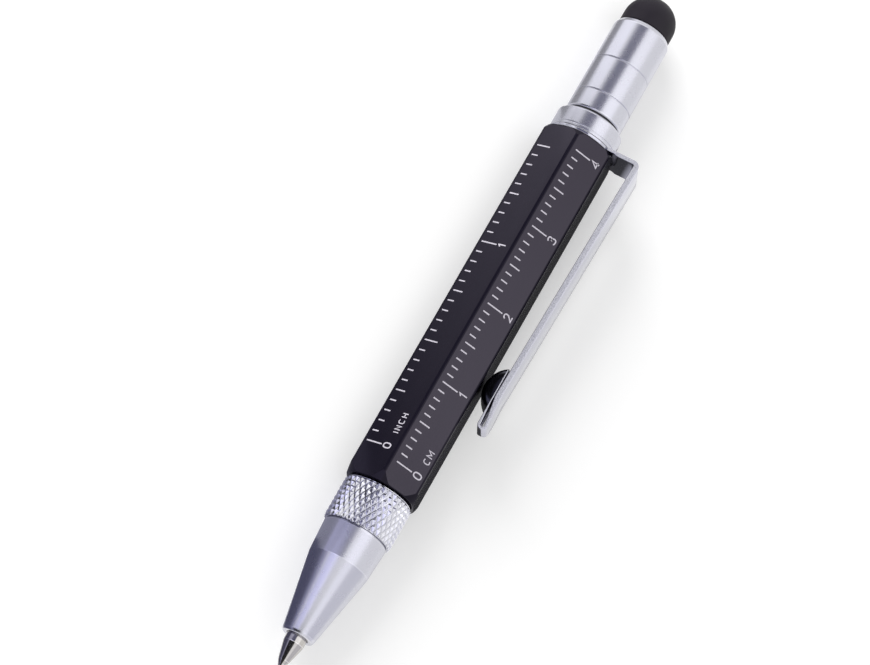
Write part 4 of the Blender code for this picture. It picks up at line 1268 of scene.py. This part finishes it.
@dataclass
class Clip:
    """The pocket clip: a washer under the collar and the bent, hemmed strip that grows from it."""

    washer_front: float = 66.25
    washer_back: float = 66.6
    washer_radius: float = 3.9
    washer_bore: float = 3.0
    thickness: float = 0.35
    leg_thickness: float = 0.62
    fold_thickness: float = 0.33
    leaf_thickness: float = 0.15
    width: float = 4.9
    rise_top: float = 7.27
    rise_low: float = 6.53
    rise_end: float = 6.77
    bend: float = 0.8
    end: float = 31.8
    low: float = 36.025
    fold: float = 0.365
    end_corners: tuple[float, float] = (0.05, 3.6)
    hem_end: float = 38.925
    nub_centre: float = 36.85
    nub_size: tuple[float, float] = (5.1, 4.6)
    nub_floor: float = 4.05
    nub_sink: float = 0.05
    nub_cover: float = 0.02
    nub_counts: tuple[int, int] = (41, 33)
    nub_powers: tuple[int, int] = (3, 6)
    edge: float = 0.08
    edge_share: float = 0.4
    edge_points: int = 5
    side_lift: float = 0.001
    corner_rest: float = 0.02
    hinge: tuple[float, float] = (4.65, 5.25)
    washer_rounding: float = 0.06
    washer_columns: int = 128
    tab_root: float = 3.3
    tab_thickens: tuple[float, float] = (4.15, 4.5)
    bend_thickness: float = 0.48
    leaf_thins: tuple[float, float] = (0.0, 2.4)
    tab_gap: float = 0.1
    hem_gap: float = 0.2
    leg_span: tuple[float, float] = (0.02, 1.0)
    flare_span: tuple[float, float] = (0.1, 0.95)
    counts: tuple[int, ...] = (16, 13, 16, 9, 17, 14)

    @property
    def middle(self) -> float:
        """The station of the washer's middle plane."""
        return (self.washer_front + self.washer_back) / 2

    def centre_line(self) -> tuple[Floats, Floats]:
        """Work out the line that the strip's section is carried along.

        The line leaves the washer outwards, bends down along the barrel and flares a little,
        turns back inwards at its end in a half circle and ends in a hem that lies along the leg.
        The strip thins towards its fold, and its hem is thin.

        Returns:
            The line's points as (height, station), and the thickness at each.
        """
        tab_count, bend_count, leg_count, flare_count, fold_count, hem_count = self.counts
        half = self.thickness / 2
        top = self.rise_top - half
        bend = self.bend - half
        tab = np.stack((np.linspace(self.tab_root, top - bend - self.tab_gap, tab_count),
                        np.full(tab_count, self.middle)), axis=1)
        corner = np.linspace(math.pi / 2, 0.0, bend_count)
        bent = np.stack((top - bend + bend * np.cos(corner),
                         self.middle - bend + bend * np.sin(corner)), axis=1)
        foot = (self.rise_low - half, self.low)
        leg = bent[-1] + (foot - bent[-1]) * np.linspace(*self.leg_span, leg_count)[:, None]
        end_height = self.rise_end - half
        fold_station = self.end + self.fold + half
        flared = np.array([end_height, fold_station]) - leg[-1]
        flare = leg[-1] + flared * np.linspace(*self.flare_span, flare_count)[:, None]
        turn_back = np.linspace(0.0, -math.pi, fold_count)
        folded = np.stack((end_height - self.fold + self.fold * np.cos(turn_back),
                           fold_station + self.fold * np.sin(turn_back)), axis=1)
        reach = np.linspace(fold_station + self.hem_gap, self.hem_end, hem_count)
        hem = np.stack((np.full(hem_count, end_height - 2 * self.fold), reach), axis=1)
        deep = np.concatenate((
            np.interp(tab[:, 0], self.tab_thickens, (self.thickness, self.bend_thickness)),
            np.linspace(self.bend_thickness, self.leg_thickness, bend_count),
            np.full(leg_count, self.leg_thickness),
            np.linspace(self.leg_thickness, self.fold_thickness, flare_count),
            np.full(fold_count, self.fold_thickness),
            np.interp(reach - reach[0], self.leaf_thins, (self.fold_thickness, self.leaf_thickness))))
        return np.concatenate((tab, bent, leg, flare, folded, hem)), deep

    def strip(self) -> Shell:
        """Carry a rounded flat section along the line.

        The section is a rectangle whose corners are quarter circles; its outer side keeps its
        distance from the line and its inner side follows from the thickness. Near the end each
        side's half width is w - c + sqrt(c^2 - d^2), with d the way past the plan's corner
        centre and c that corner's radius. The wear value marks the sheared edges.

        Returns:
            The strip as a closed shell.
        """
        line, deep = self.centre_line()
        ahead = np.gradient(line, axis=0)
        ahead /= np.linalg.norm(ahead, axis=1, keepdims=True)
        normal = np.stack((-ahead[:, 1], ahead[:, 0]), axis=1)
        quarter = np.linspace(0.0, math.pi / 2, self.edge_points)[None, :]
        angle = (np.arange(4)[:, None] * math.pi / 2 + quarter).reshape(-1)
        signs = np.repeat(np.array([(1, 1), (-1, 1), (-1, -1), (1, -1)], float), self.edge_points, axis=0)
        corners = np.array(self.end_corners)[None, :]
        past = np.clip(self.end + corners - line[:, 1:], 0.0, corners - self.corner_rest)
        half_width = self.width / 2 - corners + np.sqrt(corners ** 2 - past ** 2)
        half_width = np.where(signs[:, 0] < 0, half_width[:, :1], half_width[:, 1:])
        edge = np.minimum(self.edge, deep[:, None] * self.edge_share)
        across = signs[:, 0] * (half_width - edge) + edge * np.cos(angle)
        side = deep[:, None] / 2 + self.side_lift - edge
        out = (self.thickness - deep[:, None]) / 2 + signs[:, 1] * side + edge * np.sin(angle)
        height = line[:, :1] + out * normal[:, :1]
        station = line[:, 1:] + out * normal[:, 1:]
        shell = loft(place(station, Face.CLIP.turn, height, across))
        shell.wear_and_shade = np.tile(np.clip(4 * np.abs(np.cos(angle)) - 3, 0.0, 1.0), len(line))
        return shell

    def nub(self) -> Shell:
        """Return the pressed nub under the hem.

        Its outline along the strip is an arc, sqrt(r^2 - s^2) below the hem at a distance s from its
        middle, and across the strip the depth falls off as (1 - t^3)^(1/3), with t the share of the
        half width. A flat side inside the hem closes it.

        Returns:
            The nub as a closed shell.
        """
        leaf = self.rise_end - 2 * self.fold - self.thickness + self.nub_sink
        sag = leaf - self.nub_floor
        half_length, half_width = self.nub_size[0] / 2, self.nub_size[1] / 2
        radius = (half_length ** 2 + sag ** 2) / (2 * sag)
        spread = math.asin(half_length / radius)
        swing = np.linspace(-spread, spread, self.nub_counts[0])
        deep = radius * np.cos(swing) - (radius - sag)
        share = np.sin(np.linspace(-math.pi / 2, math.pi / 2, self.nub_counts[1]))[:, None]
        fall, round_fall = ((1 - np.abs(share) ** power) ** (1 / power) for power in self.nub_powers)
        along = self.nub_centre + radius * np.sin(swing) * round_fall
        low = np.stack(np.broadcast_arrays(leaf - deep * fall, along, half_width * share), axis=2)
        cover = np.full(low.shape[:2], leaf + self.nub_cover)
        high = np.stack((cover, low[:, :, 1], low[:, :, 2]), axis=2)[:, ::-1]
        ring = np.concatenate((low, high[:, 1:-1]), axis=1)[1:-1]
        return loft(place(ring[:, :, 1], Face.CLIP.turn, ring[:, :, 0], ring[:, :, 2]))

    def washer(self) -> Shell:
        """Return the clip's round washer.

        Returns:
            The washer as a closed shell.
        """
        half = self.thickness / 2
        outline = hollow(self.washer_radius, self.washer_bore, self.middle - half, self.middle + half)
        return turned(outline, self.washer_rounding, columns=self.washer_columns)

    def build(self) -> None:
        """Make the clip's washer and strip in one piece, and its nub on the clip's body."""
        item = add_piece("spring_clip", [self.washer(), self.strip()], FINISHES.chrome, None,
                         ("clip_ring", "clip_arm"))
        start, end = (tuple(place(self.middle, Face.CLIP.turn, height).tolist()) for height in self.hinge)
        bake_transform(item)
        # The nub's dark finish is painted shade.
        add_piece("clip_nub", self.nub(), FINISHES.nub_painted_shade, "clip")


@dataclass
class Level:
    """The small spirit level in one flat: tube, marks, fluid, bubble and end plugs."""

    front: float = 28.35
    back: float = 38.35
    radius: float = 0.95
    wall: float = 0.28
    height: float = 2.85
    pocket_half_width: float = 1.05
    pocket_floor: float = 1.85
    pocket_overcut: float = 0.5
    pocket_steps: int = 17
    pocket_sharp: float = 30.0
    play: float = 0.05
    plug_recess: float = 0.5
    plug_head: float = 0.4
    plug_tail: float = 1.0
    fluid_inset: float = 1.03
    fluid_play: float = 0.02
    mark_offset: float = 1.35
    mark_half_width: float = 0.06
    mark_heights: tuple[float, float] = (0.02, 0.005)
    bubble_half_length: float = 1.15
    bubble_half_width: float = 0.42
    bubble_depth: float = 0.24
    bubble_power: float = 0.6
    bubble_lift: float = 0.01
    bubble_pole: float = 0.02
    bubble_steps: int = 25
    bubble_columns: int = 32
    columns: int = 48
    tube_rounding: float = 0.04
    stop_rounding: float = 0.05
    fluid_rounding: float = 0.02
    mark_rounding: float = 0.005

    def tube_about(self, outline: Outline, rounding: float, looped: bool = True) -> Shell:
        """Turn an outline about the level's own line."""
        return turned(outline, rounding, looped, self.columns, self.height, Face.LEVEL.turn)

    def cut_pocket(self, barrel: bpy.types.Object) -> None:
        """Cut a pocket for the level into the barrel's mesh.

        The cutter's outline is two half circles, (w cos a, end + w sin a), joined by straight sides.

        Args:
            barrel: The barrel's object, whose mesh is replaced.
        """
        angle = np.linspace(0.0, math.pi, self.pocket_steps)
        front = self.front - self.plug_recess
        back = self.back + self.plug_recess
        across = self.pocket_half_width * np.concatenate((np.cos(angle), np.cos(angle + math.pi)))
        station = np.concatenate((back + self.pocket_half_width * np.sin(angle),
                                  front + self.pocket_half_width * np.sin(angle + math.pi)))
        heights = np.array([self.pocket_floor, HEX_APOTHEM + self.pocket_overcut])[:, None]
        rings = place(station[None, :] + 0 * heights, Face.LEVEL.turn, heights + 0 * station, across[None, :])
        cutter_mesh = mesh_of("pocket_cutter", loft(rings), self.pocket_sharp)
        cutter = bpy.data.objects.new("pocket_cutter", cutter_mesh)
        bpy.context.scene.collection.objects.link(cutter)
        cut = barrel.modifiers.new("Pocket", "BOOLEAN")
        cut.object = cutter
        graph = bpy.context.evaluated_depsgraph_get()
        mesh = bpy.data.meshes.new_from_object(barrel.evaluated_get(graph))
        barrel.modifiers.clear()
        barrel.data = mesh
        mesh.set_sharp_from_angle(angle=math.radians(BARREL_SHARP))
        bpy.data.objects.remove(cutter)

    def build(self) -> None:
        """Make the level's pieces."""
        bore = self.radius - self.wall
        tube = hollow(self.radius, bore, self.front, self.back)
        add_piece("level_tube", self.tube_about(tube, self.tube_rounding), FINISHES.acrylic, "barrel",
                  ("level_vial",))
        self.build_stops(bore - self.play)
        axis = self.fluid_play
        fluid_radius = bore - self.fluid_play
        ends = (self.front + self.fluid_inset, self.back - self.fluid_inset)
        fluid = [(axis, ends[1]), (fluid_radius, ends[1]), (fluid_radius, ends[0]), (axis, ends[0])]
        add_piece("level_fluid", self.tube_about(fluid, self.fluid_rounding, False), FINISHES.fluid,
                  "barrel")
        self.build_bubble(fluid_radius, (ends[0] + ends[1]) / 2)
        outer, inner = (self.radius + height for height in self.mark_heights)
        for index, offset in enumerate((-self.mark_offset, self.mark_offset)):
            middle = (self.front + self.back) / 2 + offset
            mark = hollow(outer, inner, middle - self.mark_half_width, middle + self.mark_half_width)
            add_piece(f"level_mark_{index + 1}", self.tube_about(mark, self.mark_rounding), FINISHES.seal,
                      "barrel")

    def build_stops(self, tail_radius: float) -> None:
        """Make the two end plugs: a head outside the tube and a thinner tail inside it.

        Args:
            tail_radius: Radius of the tails.
        """
        axis = 0.03
        for name, node, face, outward in (("level_stop_front", "level_plug_front", self.front, -1),
                                          ("level_stop_rear", "level_plug_rear", self.back, 1)):
            shoulder = face + outward * self.play
            head_end = shoulder + outward * self.plug_head
            tail_end = face - outward * self.plug_tail
            plug = [(axis, head_end), (self.radius, head_end), (self.radius, shoulder),
                    (tail_radius, shoulder), (tail_radius, tail_end), (axis, tail_end)]
            add_piece(name, self.tube_about(plug, self.stop_rounding, False), FINISHES.seal, "barrel",
                      (node,))

    def build_bubble(self, fluid_radius: float, middle: float) -> None:
        """Make the bubble: a long rounded body against the outer side of the fluid.

        Point (u, v) lies on a stretched sphere, x = a cos u, with its cross section
        flattened towards the tube's outer wall.

        Args:
            fluid_radius: Radius of the fluid.
            middle: Station of the bubble's middle.
        """
        along = np.linspace(self.bubble_pole, math.pi - self.bubble_pole, self.bubble_steps)[:, None]
        around = np.linspace(0.0, 2 * math.pi, self.bubble_columns, endpoint=False)[None, :]
        swell = np.sin(along) ** self.bubble_power
        station = middle + self.bubble_half_length * np.cos(along) + 0 * around
        height = (self.height + fluid_radius - self.bubble_depth + self.bubble_lift
                  + self.bubble_depth * swell * np.cos(around))
        across = self.bubble_half_width * swell * np.sin(around)
        bubble = loft(place(station, Face.LEVEL.turn, height, across))
        add_piece("level_bubble", bubble, FINISHES.air, "barrel")


@dataclass
class Insides:
    """What lies inside the barrel and under the cap."""

    def build(self) -> None:
        """Dress the mechanism, the socket and the bit."""
        for finish, nodes in ((FINISHES.brass, ("cam_sleeve", "thrust_washer")),
                              (FINISHES.acetal, ("front_bush", "refill_carrier")),
                              (FINISHES.steel, ("drive_tube", "cam_pin"))):
            for node in nodes:
                dress(node, finish)
        smoothed_copy("hex_socket", "bit_socket", FINISHES.steel, "barrel")
        smoothed_copy("reversible_bit", "driver_bit", FINISHES.steel, "bit")


@dataclass(frozen=True)
class Card:
    """A glowing flat sheet, seen in glossy surfaces only: a painted reflection, bright or dark, in the place
    of a reflector or flag.

    Its colour runs along one axis, from near_colour at the lowest place to far_colour at the
    highest. Without a far_colour it is the same all over.
    """

    name: str
    corners: Corners
    near_colour: Colour
    far_colour: Colour | None = None
    axis: str = "X"

    def build(self) -> None:
        """Put the card in the scene."""
        mesh = bpy.data.meshes.new(self.name)
        mesh.from_pydata(self.corners, [], [tuple(range(len(self.corners)))])
        card = bpy.data.objects.new(self.name, mesh)
        bpy.context.scene.collection.objects.link(card)
        for setting in ("camera", "diffuse", "shadow", "transmission", "volume_scatter"):
            setattr(card, "visible_" + setting, False)
        graph = Graph(self.name)
        across = graph.add("SeparateXYZ", {0: graph.place}).outputs[self.axis]
        ends = [corner["XYZ".index(self.axis)] for corner in self.corners]
        share = graph.spread(across, 0.0, 1.0, min(ends), max(ends))
        colour = graph.mix(share, self.near_colour, self.far_colour or self.near_colour)
        # The sheet glows with its colour for glossy rays only: a painted reflection, not a lamp.
        graph.set(Base_Color=(0.0, 0.0, 0.0, 1.0), Specular_IOR_Level=0.0, Emission_Strength=1.0,
                  Emission_Color=colour)
        mesh.materials.append(graph.material)


def even(level: float, blue: float = 1.04) -> Colour:
    """Return a nearly neutral colour of a level, a little blue."""
    return (level, level, level * blue)


def panel(x: tuple[float, float], y: tuple[float, float], z: tuple[float, float]) -> Corners:
    """Return a rectangle along the pen, from one long edge at the first y and z to one at the second."""
    return ((x[0], y[0], z[0]), (x[1], y[0], z[0]), (x[1], y[1], z[1]), (x[0], y[1], z[1]))


def floor_panel(x: tuple[float, float], y: tuple[float, float], z: float = 0.0004) -> Corners:
    """Return a level rectangle just above the floor."""
    return panel(x, y, (z, z))


BESIDE = (0.05, 0.05)
BESIDE_FLOOR = (0.0026, 0.05)
# Every card is a painted reflection. The flags are dark sheets that paint shade into what metal and lacquer
# reflect, among them flag_under_clip in the clip's shade. The boxes and bounces are bright sheets that paint
# highlights.
CARDS = (
    Card("flag_overhead", ((-0.003, 0.17, 0.40), (0.36, 0.02, 0.40), (0.36, 0.35, 0.36),
                           (-0.003, 0.36, 0.11)), even(0.14, 1.7), even(0.21, 1.25)),
    Card("flag_beside_cone", panel((-0.25, -0.029), BESIDE, (0.0, 0.02)),
         even(0.12, 1.75), even(0.52, 1.35), "Z"),
    Card("flag_beside_nose", panel((-0.029, -0.012), BESIDE, (0.0, 0.03)),
         even(0.62, 1.35), even(0.40, 1.4), "Z"),
    Card("flag_beside_barrel", panel((-0.012, 0.042), BESIDE, (0.0, 0.06)), even(0.015)),
    Card("floor_flag_cone", floor_panel((-0.14, -0.0295), BESIDE_FLOOR), even(0.09, 1.7), even(0.10, 1.6)),
    Card("floor_flag_nose", floor_panel((-0.0295, -0.012), BESIDE_FLOOR), even(0.31, 1.25)),
    Card("floor_flag_barrel", floor_panel((-0.012, 0.036), BESIDE_FLOOR), even(0.02), even(0.95)),
    Card("floor_flag_cap", floor_panel((0.026, 0.07), (0.0045, 0.0115), 0.0006), even(0.38)),
    Card("floor_bounce", floor_panel((0.036, 0.30), (0.0115, 0.30)), even(1.3)),
    Card("box_beside_cap", panel((0.07, 0.40), (0.30, 0.30), (0.0, 0.16)), even(1.35)),
    Card("box_between", panel((0.05, 0.11), (0.13, -0.30), (0.45, 0.45)), even(1.0), even(2.3, 1.02)),
    Card("box_above", panel((0.11, 0.36), (0.13, -0.30), (0.45, 0.40)), even(1.85, 1.02), even(0.75, 1.02)),
    Card("box_over_nose", panel((-0.30, -0.003), (0.13, 0.24), (0.06, 0.34)),
         even(0.85, 1.35), even(1.42, 1.25), "Z"),
    Card("box_nose_top", panel((-0.30, 0.05), (0.04, -0.20), (0.45, 0.45)), even(1.0), even(1.33)),
    Card("flag_right_of_nose", panel((-0.30, -0.01), (-0.20, -0.40), (0.45, 0.0)), even(0.78, 1.08)),
    Card("flag_by_point", panel((-0.075, -0.0445), (0.028, 0.006), (0.012, 0.034)), even(0.02)),
    Card("flag_under_clip", floor_panel((-0.0235, 0.027), (-0.0092, -0.0026)), even(0.06)),
    Card("bounce_under_tab", floor_panel((0.0185, 0.0235), (-0.0085, -0.0062), 0.003),
         even(1.3, 1.08), even(0.05), "Y"),
)


@dataclass
class Studio:
    """Camera, lamp, floor, surroundings and cards."""

    lens: float = 153.1
    sensor: float = 36.0
    clip_start: float = 0.01
    position: tuple[float, float, float] = (-0.1285, 0.1292, 0.3517)
    right: tuple[float, float, float] = (0.4741, -0.7605, 0.4437)
    up: tuple[float, float, float] = (0.8211, 0.5638, 0.0890)
    back: tuple[float, float, float] = (-0.3179, 0.3221, 0.8917)
    key_position: tuple[float, float, float] = (0.28, 0.50, 0.36)
    key_size: tuple[float, float] = (0.36, 0.36)
    key_power: float = 3.0
    floor_size: float = 6.0
    floor_colour: float = 0.8
    floor_roughness: float = 0.9
    white_share: float = 0.28
    fill: float = 0.7

    def add_camera(self) -> None:
        """Set the camera at the photograph's viewing angle."""
        data = bpy.data.cameras.new("camera")
        data.lens = self.lens
        data.sensor_width = self.sensor
        data.clip_start = self.clip_start
        camera = bpy.data.objects.new("camera", data)
        axes = Matrix((self.right, self.up, self.back)).transposed().to_4x4()
        camera.matrix_world = Matrix.Translation(self.position) @ axes
        bpy.context.scene.collection.objects.link(camera)
        bpy.context.scene.camera = camera

    def add_key(self) -> None:
        """Add the soft box that lights the pen; glossy surfaces show the cards instead of it."""
        data = bpy.data.lights.new("key", "AREA")
        data.shape = "RECTANGLE"
        data.size, data.size_y = self.key_size
        data.energy = self.key_power
        lamp = bpy.data.objects.new("key", data)
        lamp.location = self.key_position
        lamp.rotation_euler = (-Vector(self.key_position)).to_track_quat("-Z", "Y").to_euler()
        lamp.visible_glossy = False
        bpy.context.scene.collection.objects.link(lamp)

    def shown(self, tree: bpy.types.NodeTree) -> bpy.types.NodeSocket:
        """Tell which rays show the background: camera, glossy and transmission rays.

        Args:
            tree: The node tree to add the test to.

        Returns:
            The test's output, 1 for these rays and 0 for all others.
        """
        path = tree.nodes.new("ShaderNodeLightPath")
        total = path.outputs["Is Camera Ray"]
        for name in ("Is Glossy Ray", "Is Transmission Ray"):
            larger = tree.nodes.new("ShaderNodeMath")
            larger.operation = "MAXIMUM"
            tree.links.new(total, larger.inputs[0])
            tree.links.new(path.outputs[name], larger.inputs[1])
            total = larger.outputs[0]
        return total

    def add_floor(self) -> None:
        """Add the pale floor, which keeps the pen's shadow."""
        half = self.floor_size / 2
        mesh = bpy.data.meshes.new("floor")
        mesh.from_pydata(floor_panel((-half, half), (-half, half), 0.0), [], [(0, 1, 2, 3)])
        floor = bpy.data.objects.new("floor", mesh)
        bpy.context.scene.collection.objects.link(floor)
        graph = Graph("floor_white")
        light = graph.add("Math", {0: self.shown(graph.tree), 1: self.white_share}, operation="MULTIPLY")
        graph.set(Base_Color=(*even(self.floor_colour, 1.0), 1.0), Roughness=self.floor_roughness,
                  Specular_IOR_Level=0.0, Emission_Color=(1.0, 1.0, 1.0, 1.0),
                  Emission_Strength=light.outputs[0])
        mesh.materials.append(graph.material)

    def add_world(self) -> None:
        """Set the surroundings: white where they show, softer as light."""
        world = bpy.data.worlds.new("world")
        bpy.context.scene.world = world
        world.use_nodes = True
        tree = world.node_tree
        background = tree.nodes["Background"]
        background.inputs["Color"].default_value = (1.0, 1.0, 1.0, 1.0)
        strength = tree.nodes.new("ShaderNodeMapRange")
        strength.inputs["To Min"].default_value = self.fill
        strength.inputs["To Max"].default_value = 1.0
        tree.links.new(self.shown(tree), strength.inputs["Value"])
        tree.links.new(strength.outputs[0], background.inputs["Strength"])

    def build(self) -> None:
        """Set the whole studio."""
        bpy.context.scene.view_settings.view_transform = "Standard"
        self.add_camera()
        self.add_floor()
        self.add_world()
        self.add_key()
        for card in CARDS:
            card.build()


METRIC_RULE = Rule("metric_rule_print", Face.METRIC, zero=24.0, pitch=1.0, count=40, start=-1.55,
                   lengths={1: 0.81, 5: 1.3, 10: 2.02},
                   numbers={0: "0", 10: "1", 20: "2", 30: "3", 40: "4"}, number_foot=1.7, number_height=0.95,
                   unit="CM", unit_station=25.6, unit_foot=1.7, unit_height=0.7)
INCH_RULE = Rule("inch_rule_print", Face.INCH, zero=25.13, pitch=1.27, count=30, start=-1.81,
                 lengths={1: 0.8, 5: 1.22, 10: 1.71, 20: 2.04},
                 numbers={0: "0", 20: "1"}, number_foot=1.4, number_height=0.9,
                 unit="INCH", unit_station=26.8, unit_foot=1.42, unit_height=0.68)


def main() -> None:
    """Build the studio and the pen's looks."""
    logging.basicConfig(level=logging.INFO, format="%(message)s")
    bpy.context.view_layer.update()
    for part in (Studio(), Barrel(), METRIC_RULE, INCH_RULE, Nose(), KnurledRing(), Refill(), Collar(),
                 StylusCap(), Clip(), Level(), Insides()):
        part.build()


if __name__ == "__main__":
    main()
